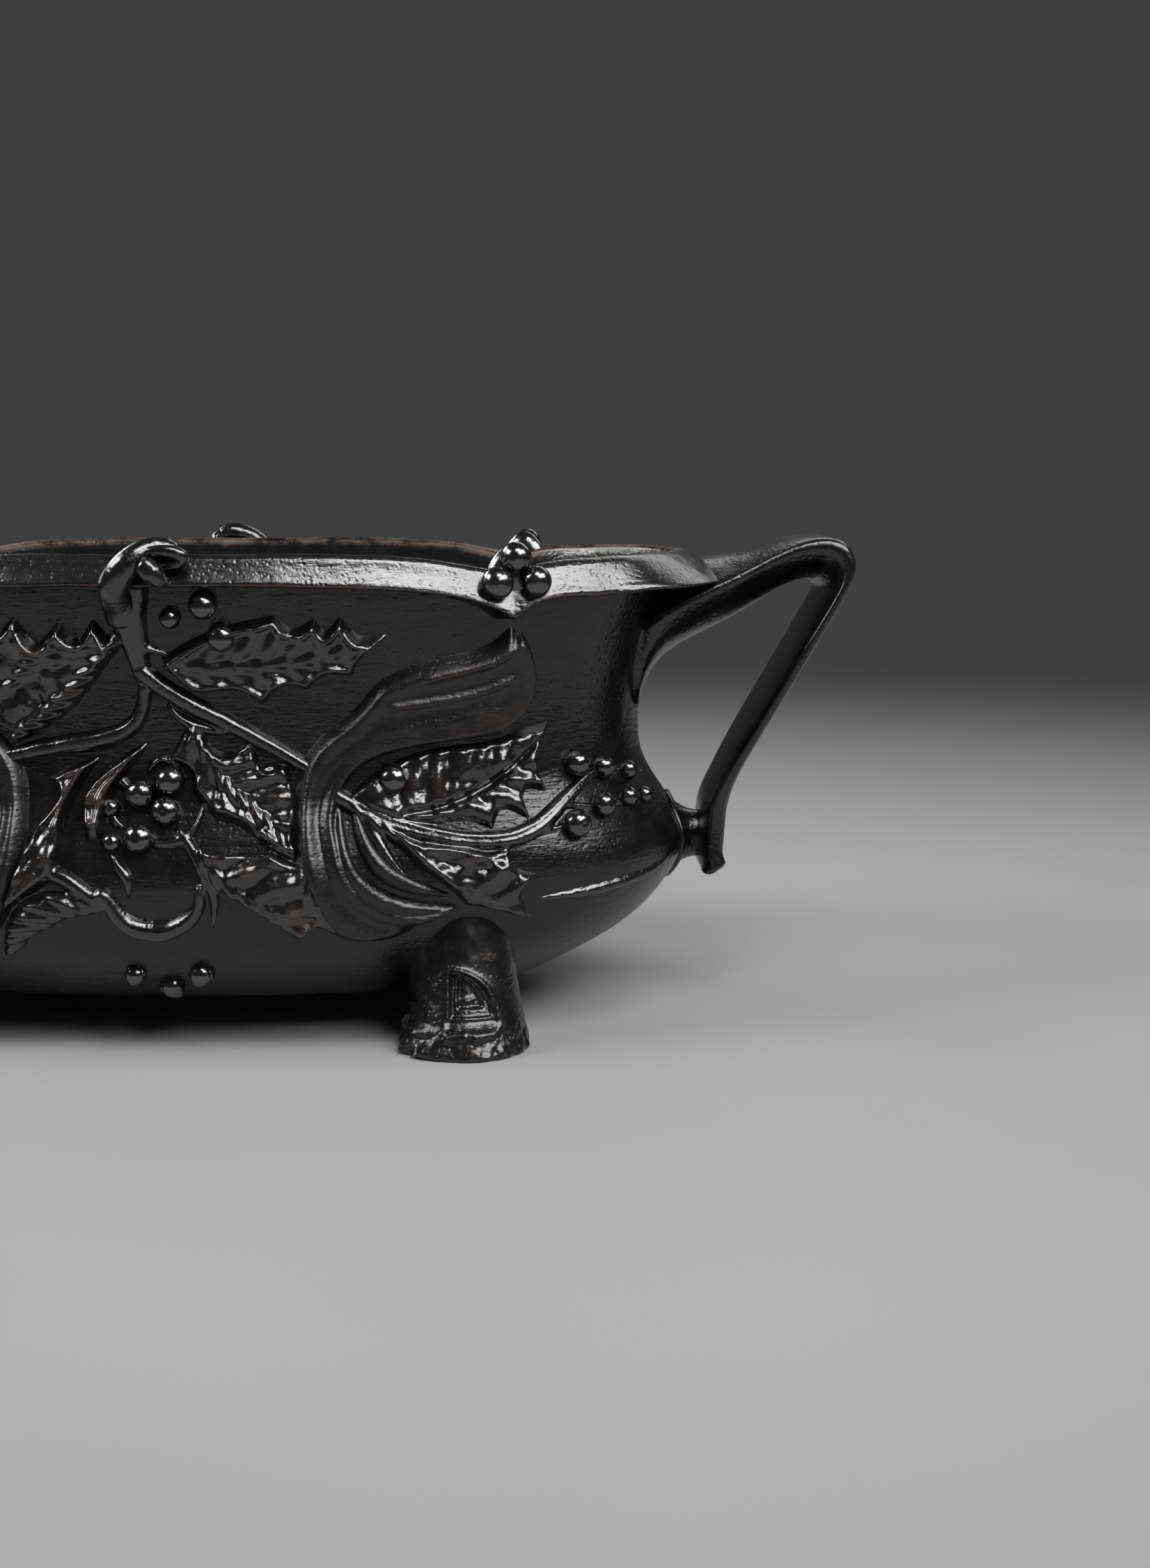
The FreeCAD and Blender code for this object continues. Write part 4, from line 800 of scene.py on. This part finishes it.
BRANCH_STEMS = [
    (DROOPING_RIB, 1.8, 1.6, 3.0, 2.2, 0.6, 5.5),
    (LOW_RIGHT_RIB, 1.8, 1.4, 2.6, 2.2, 0.6, 5.5),
    (INNER_LEFT_RIB, 0.8, 2.8, 2.6, 1.6),
    ([(47, 63), (46.4, 56), (50, 48.5), (57, 41)], 2.0, 1.2, 3.6, 1.2, 0.4, 7.0),
    ([(27, 54.5), (34, 57), (41, 57.6), (46, 57)], 0.9, 0.7, 1.2, 2.2),
    ([(14, 67), (24, 64.6), (34, 64.2), (44, 61)], 1.6, 1.4, 2.4, 1.2),
    ([(19.6, 88), (27, 90.8), (35, 93)], 1.0, 0.7, 1.2, 1.6),
    ([(25.6, 82.2), (33, 84), (41, 84.6)], 1.0, 0.7, 1.2, 1.6),
    ([(8.4, 103.4), (6, 99), (3, 95.6)], 1.2, 0.7, 1.2, 1.6),
    ([(-8, 151), (-7.4, 142), (-6.5, 133.6), (-5, 124), (-4.4, 117)], 6.2, 1.6, 4.0, 0.2),
    ([(-5, 124), (6, 115.6), (19.4, 108.2), (30.6, 102), (47, 92)], 2.7, 2.2, 2.6, 1.3, 0.0, 5.0, 0.3),
    ([(-4.2, 118), (-7.2, 108), (-17.4, 102.4), (-31, 100), (-50, 96)],
     2.1, 2.4, 2.7, 1.2, 0.0, 5.0, 0.3),
    ([(-12, 134), (-21.6, 124), (-27.8, 117), (-35.4, 110.5), (-46, 103)],
     2.0, 2.0, 3.3, 2.6, 0.7, 6.0),
    ([(-30, 137), (-34.5, 130.5), (-41, 125.4), (-48, 118)], 1.4, 2.0, 2.6, 2.6, 0.6, 6.0),
    ([(3, 112.5), (7, 108.4), (13, 105.6), (24, 104)], 0.9, 0.5, 1.7, 0.8),
    ([(6.5, 73), (11, 67.6), (14.6, 60.4), (17.4, 53.6), (16.6, 44)], 1.7, 0.7, 1.8, 0.4),
    ([(-21, 50), (-17.5, 54), (-14, 48.8), (-9, 43.8), (-0.5, 42.0), (7.5, 44.6), (12.4, 50), (13, 56)],
     1.8, 1.4, 2.9, 0.9),
    ([(-50, 33.5), (-46, 41), (-41, 46.4), (-31, 50.6), (-19, 50.4)], 1.4, 2.0, 4.4, 0.4, 0.6, 6.5),
    ([(-34, 61), (-28, 58.4), (-22, 54), (-18, 51)], 2.2, 2.0, 2.4, 0.7),
    ([(-14, 66), (-12.4, 63), (-9.6, 59), (-9.4, 54)], 1.0, 0.7, 1.8, 0.4),
    ([(-1, 70), (6, 70.4), (11, 74.4), (13.4, 81.5)], 1.1, 0.7, 1.3, 0.8),
    ([(-16.6, 83), (-14.4, 77), (-11.4, 74.6)], 0.9, 0.7, 1.6, 0.8),
    ([(-9.6, 86), (-13, 89.4), (-15, 94)], 1.4, 1.0, 1.6, 0.6),
    ([(-4, 92), (0, 95.6), (5, 93)], 0.9, 0.7, 1.3, 0.8),
    ([(-9, 137), (-4, 132.4), (3, 129.6)], 0.9, 0.6, 1.6, 1.0),
    ([(3, 125.4), (8, 122.8), (14, 120.4)], 0.9, 0.5, 1.4, 2.2),
    ([(14, 120), (22, 119.4), (26, 122), (25, 125.6)], 0.7, 0.8, 1.2, 2.6),
]
branch = Relief((-68, 34), (80, 151), 0.55)
branch.dress(BRANCH_LEAVES, [], BRANCH_STEMS)
cast(branch.shell(4.8), "branch", HALVES, "relief")

# Berries: place in the front elevation and radius, a share of which they stand off the wall
CHEEK_BERRIES = [
    (72.8, 88.4, 5.0), (130.4, 90.5, 4.3), (139.3, 88, 3.8), (147.8, 85.2, 3.3), (139.3, 76.3, 4.2),
    (147.8, 77.2, 3.4), (153.8, 76.4, 2.8), (130.8, 71.7, 4.8),
]
BRANCH_BERRIES = [
    (-6.3, 84.3, 4.9), (3.0, 88.6, 4.9), (1.9, 79, 4.8), (-5.9, 71, 4.9), (-14.6, 70, 3.0),
    (-15.5, 80, 3.2), (16, 145.2, 4.5), (5.6, 141, 3.3), (21, 135, 4.5),
]
BERRY_STAND = 0.42


def wall_spot(across, level):
    """Point of the wall at a place of the front elevation, and its outward direction."""
    run, height = flat([(across, level)])[0]
    points, out = wall_point(np.array([run / QUARTER]), np.array([height]))
    return points[0], out[0]


def lip_spot(across):
    """Point of the lip's oval at a place of the front elevation, and its outward direction."""
    turns = np.linspace(0, 1, 400)
    turn = np.interp(across, oval_point(turns, *LIP_OVAL)[0], turns)
    x, y, out_x, out_y = oval_point(turn, *LIP_OVAL)
    return np.array([x, y, 0]), np.array([out_x, out_y, 0])


def ball(bm):
    return bmesh.ops.create_icosphere(bm, subdivisions=4, radius=1.0)["verts"]


def berry_ball(bm, middle, radius, out, seed):
    """Slightly uneven ball with a small navel on its outer side."""
    verts = ball(bm)
    directions = np.array([vert.co[:] for vert in verts])
    uneven = 1 + 0.018 * lumps(directions * radius, radius * 1.3, seed)
    navel = Vector(out) + Vector((0, 0, -0.35))
    facing = directions @ np.array(navel.normalized())
    uneven -= 0.07 * smooth(0.972, 0.995, facing)
    for vert, direction, share in zip(verts, directions, uneven):
        vert.co = (middle + direction * radius * share) * MM


def wall_berries(kind, stands, table):
    bm = bmesh.new()
    for index, (across, level, radius) in enumerate(table):
        point, out = wall_spot(across, level)
        berry_ball(bm, point + out * BERRY_STAND * radius, radius, out, 60 + index)
    cast(bm, kind, stands, "berry")


wall_berries("spray_berries", CORNERS, CHEEK_BERRIES)
wall_berries("branch_berries", HALVES, BRANCH_BERRIES)

# Berries of a rim cluster: place in the front elevation, radius and stand from the lip's oval
RIM_BERRIES = [(106.6, 151.4, 5.1, 1.6), (118.4, 151.8, 4.9, 1.6), (112.6, 159.2, 4.9, 0.6)]
# Backing behind them: place, half thickness, half width, and height above and below its middle
BACKING = (112.4, 154, 4.6, 8.6, 9.2, 8.0)
BACKING_SETBACK = 4.2


def rim_cluster():
    """Three berries in front of the lip and a low rounded backing behind them."""
    bm = bmesh.new()
    for index, (across, level, radius, stand) in enumerate(RIM_BERRIES):
        point, out = lip_spot(across)
        berry_ball(bm, point + out * stand + [0, 0, level], radius, out, 80 + index)
    across, level, thick, wide, up, down = BACKING
    point, out = lip_spot(across)
    side = np.array([-out[1], out[0], 0])
    for vert in ball(bm):
        x, y, z = vert.co
        place = point + out * (thick * x - BACKING_SETBACK) + side * (wide - 2.0 * z) * y
        vert.co = (place + [0, 0, level + z * (up if z > 0 else down)]) * MM
    cast(bm, "rim_berries", CORNERS, "berry")


rim_cluster()

# Buds low on the belly: place in the front elevation and radius; each is a heart with three lobes
DROP_BUDS = [(-10.4, 26.4, 4.0), (0.4, 21.2, 4.6), (10.8, 26.4, 4.6)]
BUD_STAND = 0.8
LOBE_SHIFT = 0.42


def drop_buds():
    """Three small lobed buds low on the belly."""
    bm = bmesh.new()
    for index, (across, level, radius) in enumerate(DROP_BUDS):
        point, out = wall_spot(across, level)
        for lobe in range(4):
            angle = 2.2 * lobe + index
            shift = np.array([math.cos(angle), 0, math.sin(angle)]) * radius * LOBE_SHIFT * (lobe > 0)
            share = 0.55 if lobe else 0.85
            seed = 90 + 5 * index + lobe
            berry_ball(bm, point + shift + out * BUD_STAND, radius * share, out, seed)
    cast(bm, "drop_berries", HALVES, "berry")


drop_buds()

# Round bars: radius at their closed ends
POINT = 0.1


def swept(bm, path, radii, sides, closed=False):
    """Grid rolled round a path: a round bar with its own radius everywhere."""
    runs = np.gradient(path, axis=0)
    if closed:
        runs[0] = runs[-1] = path[1] - path[-2]
    runs = runs / np.linalg.norm(runs, axis=1)[:, None]
    side = np.cross(runs[0], (0.0, 0.0, 1.0))
    frames = []
    for run in runs:
        side = side - run * (side @ run)
        side = side / np.linalg.norm(side)
        frames.append((side, np.cross(run, side)))
    verts, shares = grid(bm, len(path) - 1, sides)
    for vert, (along, around) in zip(verts, shares):
        step = round(along * (len(path) - 1))
        first, second = frames[step]
        out = first * math.cos(math.tau * around) + second * math.sin(math.tau * around)
        vert.co = (path[step] + out * radii[step]) * MM


def tapered(bm, points, stops, sizes, sides):
    """Bar along a smooth line, with its radius given at shares of the way."""
    line = rounded(points)
    radii = np.interp(np.linspace(0, 1, len(line)), stops, sizes)
    radii[0] = POINT
    swept(bm, line, radii, sides)


CURL_STEM = [
    (-8.4, -84, 141), (-9.4, -88.6, 146), (-9.6, -93.4, 150.4), (-7.4, -95.6, 154.8),
    (-3.6, -95.2, 158.9), (1.2, -92.8, 161.9), (6.4, -90.8, 162.4), (9.6, -89.6, 160.8),
]
CURL_LOBE = [(-0.6, -95.8, 158.2), (1.8, -97, 156.2), (4.6, -97.2, 153.4), (7.0, -96, 150.4)]


def curl_piece():
    """Stem tip that climbs over the lip and rolls up round an eye, with a lobe in front."""
    bm = bmesh.new()
    tapered(bm, CURL_STEM, [0, 0.15, 0.35, 0.6, 0.8, 0.95, 1], [6.2, 5.4, 4.8, 4.2, 3.4, 2.4, POINT], 24)
    angle = np.linspace(0, math.tau, 49)
    sine, cosine = np.sin(angle), np.cos(angle)
    eye = columns(5.4 + 6.4 * cosine, -94.6 - 1.4 * sine, 159.6 + 2.2 * sine)
    swept(bm, eye, 1.75 + 0.35 * np.cos(angle - 0.4), 18, True)
    tapered(bm, CURL_LOBE, [0, 0.2, 0.5, 0.8, 1], [2.2, 3.7, 3.6, 2.2, POINT], 20)
    cast(bm, "rim_curl", HALVES, "relief")


curl_piece()

# Handle: stations from its root with half length and height of the middle of its top and of its under
# side, whole width, and how far its edges lag behind and droop
HANDLE = np.array([
    (166, 154.6, 152.4, 100, 66, 11, 17.5), (170, 156.2, 155.2, 112, 72, 9.5, 16),
    (177, 157, 160.6, 121, 72, 6.5, 11.5), (187, 158.2, 171.6, 128.2, 68, 3.4, 7),
    (198, 161, 186, 135.6, 62, 1.2, 3.2), (208.5, 163.6, 199, 143.4, 58.5, 0.3, 1.0),
    (217, 163.8, 208, 148, 58, 0, 0.2), (223.2, 161, 212.8, 148.6, 58, 0, 0),
    (226, 155, 215.2, 145.8, 58, 0, 0), (224.4, 147.6, 213.6, 141.6, 58, 0, 0),
    (216, 132, 206, 128, 57, 0, 0), (205, 113, 195.4, 109.4, 55, 0, 0),
    (194, 94, 184.6, 90.4, 51.5, 0, 0), (187.2, 81.4, 178.8, 78.6, 48, 0, 0),
    (183.6, 70, 175, 69.4, 45.5, 0, 0), (182.8, 60, 174.4, 60, 45, 0, 0),
    (182.6, 53.4, 174, 53.4, 46, 0, 0), (183.2, 50.4, 174.2, 49.6, 47, 0, 0),
    (179.6, 47.6, 176.2, 47.2, 46.4, 0, 0),
], float)
STATION_STEPS = 10
EDGE_THICKNESS = 6.2
EDGE_CHAMFER = 2.0
EDGE_BEAD = 0.9
# How deep the root is let into the wall, and the share of the way over which the edge forms
ROOT_DEPTH = 2.2
EDGE_START = 0.15
# Stub on the nose of the bowl: start, length and radius, and the raised ring round it
STUB_START = 163.5
STUB_LENGTH = 15
STUB_RADIUS = 7.6
RING_RADIUS = 14.5
RING_BAR = 1.15


def handle_place(around, along):
    """Strap with a crowned top, a rounded under side and, at its root, drooping edges."""
    stations = rounded(HANDLE, STATION_STEPS)
    step = np.rint(along * (len(stations) - 1)).astype(int)
    top, under = stations[step, 0:2], stations[step, 2:4]
    width, droop = stations[step, 4], stations[step, 5:7]
    angle = math.tau * around
    across = np.sign(np.cos(angle)) * np.abs(np.cos(angle)) ** 0.30
    height = np.sign(np.sin(angle)) * np.abs(np.sin(angle)) ** 0.36
    down = under - top
    thickness = np.linalg.norm(down, axis=1)
    down = down / thickness[:, None]
    formed = smooth(0.0, EDGE_START, along)
    bead = EDGE_BEAD * smooth(0.86, 0.955, np.abs(across)) * formed
    upper = top - droop * (across**2)[:, None] - down * bead[:, None]
    edge = top - droop + down * np.minimum(EDGE_THICKNESS, thickness)[:, None]
    keel = np.abs(across)[:, None] ** 2.6
    lower = under * (1 - keel) + edge * keel
    mix = (height[:, None] + 1) / 2
    profile = lower * (1 - mix) + upper * mix
    closed = (step == len(stations) - 1)[:, None]
    profile = np.where(closed, (top + under) / 2, profile)
    chamfer = EDGE_CHAMFER * smooth(0.55, 1.0, mix[:, 0]) * formed
    x, y, z = profile[:, 0], across * (width / 2 - chamfer), profile[:, 1]
    x = np.where(step == 0, end_reach(y, z) - ROOT_DEPTH, x)
    points = columns(x, y, z)
    uneven = lumps(points, 15, 25) * 0.22 + lumps(points, 6, 26) * 0.07
    return points + uneven[:, None] * np.array([0.7, 0.3, 0.7])


def handle_piece():
    """Handle with the flared stub and the raised ring on the nose of the bowl."""
    bm = sheet(120, STATION_STEPS * (len(HANDLE) - 1), handle_place)
    share = np.linspace(0, 1, 31)
    path = columns(STUB_START + STUB_LENGTH * share, 0 * share, BELLY_LEVEL + 0 * share)
    radii = STUB_RADIUS + 6.8 * (1 - share) ** 2.4 + 1.6 * share**4
    radii[0] = radii[-1] = POINT
    swept(bm, path, radii, 48)
    angle = np.linspace(0, math.tau, 73)
    level = BELLY_LEVEL + RING_RADIUS * np.sin(angle)
    side = RING_RADIUS * np.cos(angle)
    ring = columns(end_reach(side, level) + 0.1, side, level)
    swept(bm, ring, np.full(len(ring), RING_BAR), 14, True)
    cast(bm, "handle", ENDS, "handle")


handle_piece()

# Foot: middle on the floor and at its top, radius of the post, flare of the flange and where that ends
FOOT_MIDDLE = np.array([95.5, -71.5])
FOOT_TOP = np.array([93.0, -59.0])
FOOT_TOP_LEVEL = 46.0
FOOT_RADIUS = 17.0
FOOT_FLARE = 4.2
FOOT_FLARE_LEVEL = 34
# Share of the way taken by each of its closed ends
FOOT_CAP = 0.08
# Sunk quarter circle on its front: lower left corner and radius
SAIL_CORNER = (90.4, 12.4)
SAIL_RADIUS = 15.4
# Fixing tongue under the bowl: inner end, radius, level, thickness, and how far it ends before the post
TONGUE_START = np.array([84.0, -34.0])
TONGUE_RADIUS = 11
TONGUE_LEVEL = 6.0
TONGUE_THICKNESS = 8
TONGUE_SHORT = 6


def foot_place(around, along):
    """Rough flange, flared post and the sunk sail shape in front, row by row."""
    angle = math.tau * around
    way = columns(np.cos(angle), np.sin(angle))
    level = np.clip((along - FOOT_CAP) / (1 - 2 * FOOT_CAP), 0, 1) * FOOT_TOP_LEVEL
    lean = (level / FOOT_TOP_LEVEL)[:, None]
    radius = FOOT_RADIUS + FOOT_FLARE * np.clip(1 - level / FOOT_FLARE_LEVEL, 0, 1) ** 1.8
    radius = radius - 0.8 * smooth(1.4, 0.0, level)
    place = FOOT_MIDDLE + (FOOT_TOP - FOOT_MIDDLE) * lean + radius[:, None] * way
    facing = smooth(0.2, 0.5, -way[:, 1])
    gap_x, gap_z = place[:, 0] - SAIL_CORNER[0], level - SAIL_CORNER[1]
    arc = np.hypot(gap_x, gap_z) - SAIL_RADIUS
    edge = np.minimum(np.minimum(gap_x, gap_z), -arc)
    sunk = smooth(-0.2, 1.0, edge)
    inner = smooth(2.6, 3.4, gap_z) * smooth(2.4, 3.2, edge)
    lens = hump(gap_x - 6.2, 2.6) * hump(gap_z - 5.2, 0.8)
    beside = smooth(-2.0, 0.5, gap_x) * smooth(1.5, -0.5, arc)
    bevel = smooth(-4.4, -0.4, gap_z) * smooth(0.6, -0.4, gap_z) * beside
    line = hump(arc, 0.8) * smooth(-0.6, 0.4, gap_z) * smooth(-0.4, 0.6, gap_x)
    ledge = smooth(-7.0, -4.4, gap_z) * smooth(-2.6, -4.0, gap_z) * beside
    push = -2.4 * sunk - 1.7 * inner * sunk + 1.0 * lens + 1.2 * line - 1.5 * bevel + 0.8 * ledge
    places = columns(*place.T, level)
    grit = smooth(12, 5, level) * (1 - 0.8 * sunk)
    rough = lumps(places, 2.6, 71) * 0.32 * grit + lumps(places, 6.5, 72) * 0.42 * grit
    rough = rough + lumps(places, 5, 73) * 0.10
    clump = 1.3 * smooth(11, 7, level) * smooth(0.70, 0.95, -np.cos(angle - 0.5))
    clump = clump * (1 + 0.7 * lumps(places, 5.5, 74))
    out = push * facing + rough + clump
    out = np.where(level < 0.6, np.minimum(out, 0), out)
    place = place + out[:, None] * way
    shrink = np.clip(np.minimum(along, 1 - along) / FOOT_CAP, 0, 1)[:, None]
    middle = np.where((along < 0.5)[:, None], FOOT_MIDDLE, FOOT_TOP)
    return columns(*(middle + (place - middle) * shrink).T, level)


def foot_piece():
    """Foot with its fixing tongue behind."""
    bm = sheet(240, 120, foot_place)
    run = FOOT_MIDDLE - TONGUE_START
    length = np.linalg.norm(run)
    run = run / length
    made = bmesh.ops.create_circle(bm, cap_ends=True, segments=48, radius=TONGUE_RADIUS * MM)["verts"]
    for vert in made:
        place = np.array(vert.co[:2]) / MM
        stretch = max(place @ run, 0) / TONGUE_RADIUS * (length - TONGUE_SHORT)
        vert.co = Vector((*(TONGUE_START + place + run * stretch), TONGUE_LEVEL)) * MM
    lifted = extruded(bm, [made[0].link_faces[0]])
    bmesh.ops.translate(bm, verts=lifted, vec=(0, 0, TONGUE_THICKNESS * MM))
    cast(bm, "foot", CORNERS, "foot")


foot_piece()

# Zinc liner, its rings and the screws
ZINC_DARK = (0.30, 0.315, 0.33, 1)
ZINC_PALE = (0.46, 0.48, 0.50, 1)
ZINC_STAIN = (0.20, 0.205, 0.20, 1)
STEEL = (0.05, 0.05, 0.052, 1)
STEEL_BROWN = (0.12, 0.10, 0.085, 1)


def zinc_finish(name, scale, rough):
    finish = Finish(name, {"Metallic": 1.0})
    spangle = finish.cells(scale, "Color").between(0.1, 0.9)
    bloom = finish.noise(26, 5, 0.6)
    scratches = finish.noise(60, 3, 0.6, (1.0, 1.0, 9.0))
    stain = finish.noise(14, 6, 0.65).between(0.52, 0.72)
    grey = finish.mix(spangle * 0.5 + bloom * 0.5, ZINC_DARK, ZINC_PALE)
    dull = finish.mix(stain * 0.7, grey, ZINC_STAIN)
    roughness = rough + bloom * 0.25 + stain * 0.2
    return finish.wear(dull, roughness, scratches * 0.5 + bloom * 0.6 + spangle * 0.2, 0.0003, 0.4)


def screw_finish(name):
    finish = Finish(name, {"Metallic": 1.0})
    grain = finish.noise(400, 4, 0.6)
    tone = finish.mix(grain.between(0.4, 0.7), STEEL, STEEL_BROWN)
    return finish.wear(tone, 0.35 + grain * 0.2, grain, 0.0002, 0.4)


zinc = zinc_finish("zinc_sheet", 120, 0.30)
wire = zinc_finish("galvanised_wire", 300, 0.26)
screw = screw_finish("black_steel_screw")
KEPT_NODES = [
    (zinc, ["liner_pan", "liner_rim_wire", "liner_left_lug", "liner_right_lug"]),
    (wire, ["liner_rivets", "left_lifting_ring", "right_lifting_ring"]),
    (screw, ["foot_screws", "handle_screws"]),
]
for material, nodes in KEPT_NODES:
    for node in nodes:
        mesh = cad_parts[node].data
        mesh.materials.clear()
        mesh.materials.append(material)

# Studio: its grey, the floor's two tones, and where the floor fades into the grey
STUDIO_GREY = (0.05, 0.05, 0.052, 1)
FLOOR_DARK = (0.34, 0.34, 0.34, 1)
FLOOR_PALE = (0.37, 0.37, 0.37, 1)
FLOOR_FADE = (0.45, 1.6)


def floor_piece():
    """Pale floor that fades into the grey of the studio."""
    finish = Finish("studio_paper", {"Specular IOR Level": 0.1})
    tooth = finish.noise(500, 3, 0.6)
    finish.wear(finish.mix(finish.noise(7, 3, 0.5), FLOOR_DARK, FLOOR_PALE), 0.8, tooth, 0.0002, 0.2)
    reach = finish.node("ShaderNodeVectorMath", {"operation": "LENGTH"}, {0: finish.places}, 1)
    paper = Value(finish, finish.shader.outputs[0])
    glow = finish.node("ShaderNodeEmission", {}, {"Color": STUDIO_GREY})
    blend = finish.node("ShaderNodeMixShader", {}, {0: reach.between(*FLOOR_FADE), 1: paper, 2: glow})
    finish.set(finish.tree.nodes["Material Output"].inputs["Surface"], blend)
    bm = bmesh.new()
    bmesh.ops.create_grid(bm, x_segments=1, y_segments=1, size=6)
    new_piece(bm, "studio_floor", [finish.material])


floor_piece()

# Soft boxes: place, width, height, power and, in degrees, how wide their grid lets the light spread
AIM = Vector((0.08, 0, 0.09))
LAMPS = {
    "soft_box_right": ((0.68, -0.47, 0.73), 0.96, 0.40, 3.00, 100),
    "soft_box_left": ((-0.70, -0.21, 0.68), 0.46, 0.40, 1.80, 100),
    "soft_box_high": ((0.27, -0.52, 0.96), 0.44, 0.27, 0.80, 80),
    "soft_box_back_right": ((0.50, 0.75, 0.75), 0.90, 0.34, 1.6, 180),
    "soft_box_back_left": ((-0.72, 0.48, 0.70), 0.80, 0.40, 2.2, 110),
}
for name, (place, width, height, power, spread) in LAMPS.items():
    lamp = bpy.data.lights.new(name, "AREA")
    lamp.shape = "RECTANGLE"
    lamp.size = width
    lamp.size_y = height
    lamp.energy = power
    lamp.spread = math.radians(spread)
    holder = placed(name, lamp)
    holder.location = place
    holder.visible_camera = False
    holder.rotation_euler = (AIM - Vector(place)).to_track_quat("-Z", "Y").to_euler()

world = bpy.data.worlds.new("studio")
world.use_nodes = True
world.node_tree.nodes["Background"].inputs["Color"].default_value = STUDIO_GREY
bpy.context.scene.world = world

# Camera: it looks down by a few degrees
CAMERA_DOWN = 8.8
camera = bpy.data.cameras.new("camera")
camera.sensor_width = 36
camera.lens = 45.56
camera.clip_start = 0.01
holder = placed("camera", camera)
holder.location = (0.131, -0.7005, 0.184)
holder.rotation_euler = (math.radians(90 - CAMERA_DOWN), 0, 0)
bpy.context.scene.camera = holder
bpy.context.scene.view_settings.view_transform = "Standard"
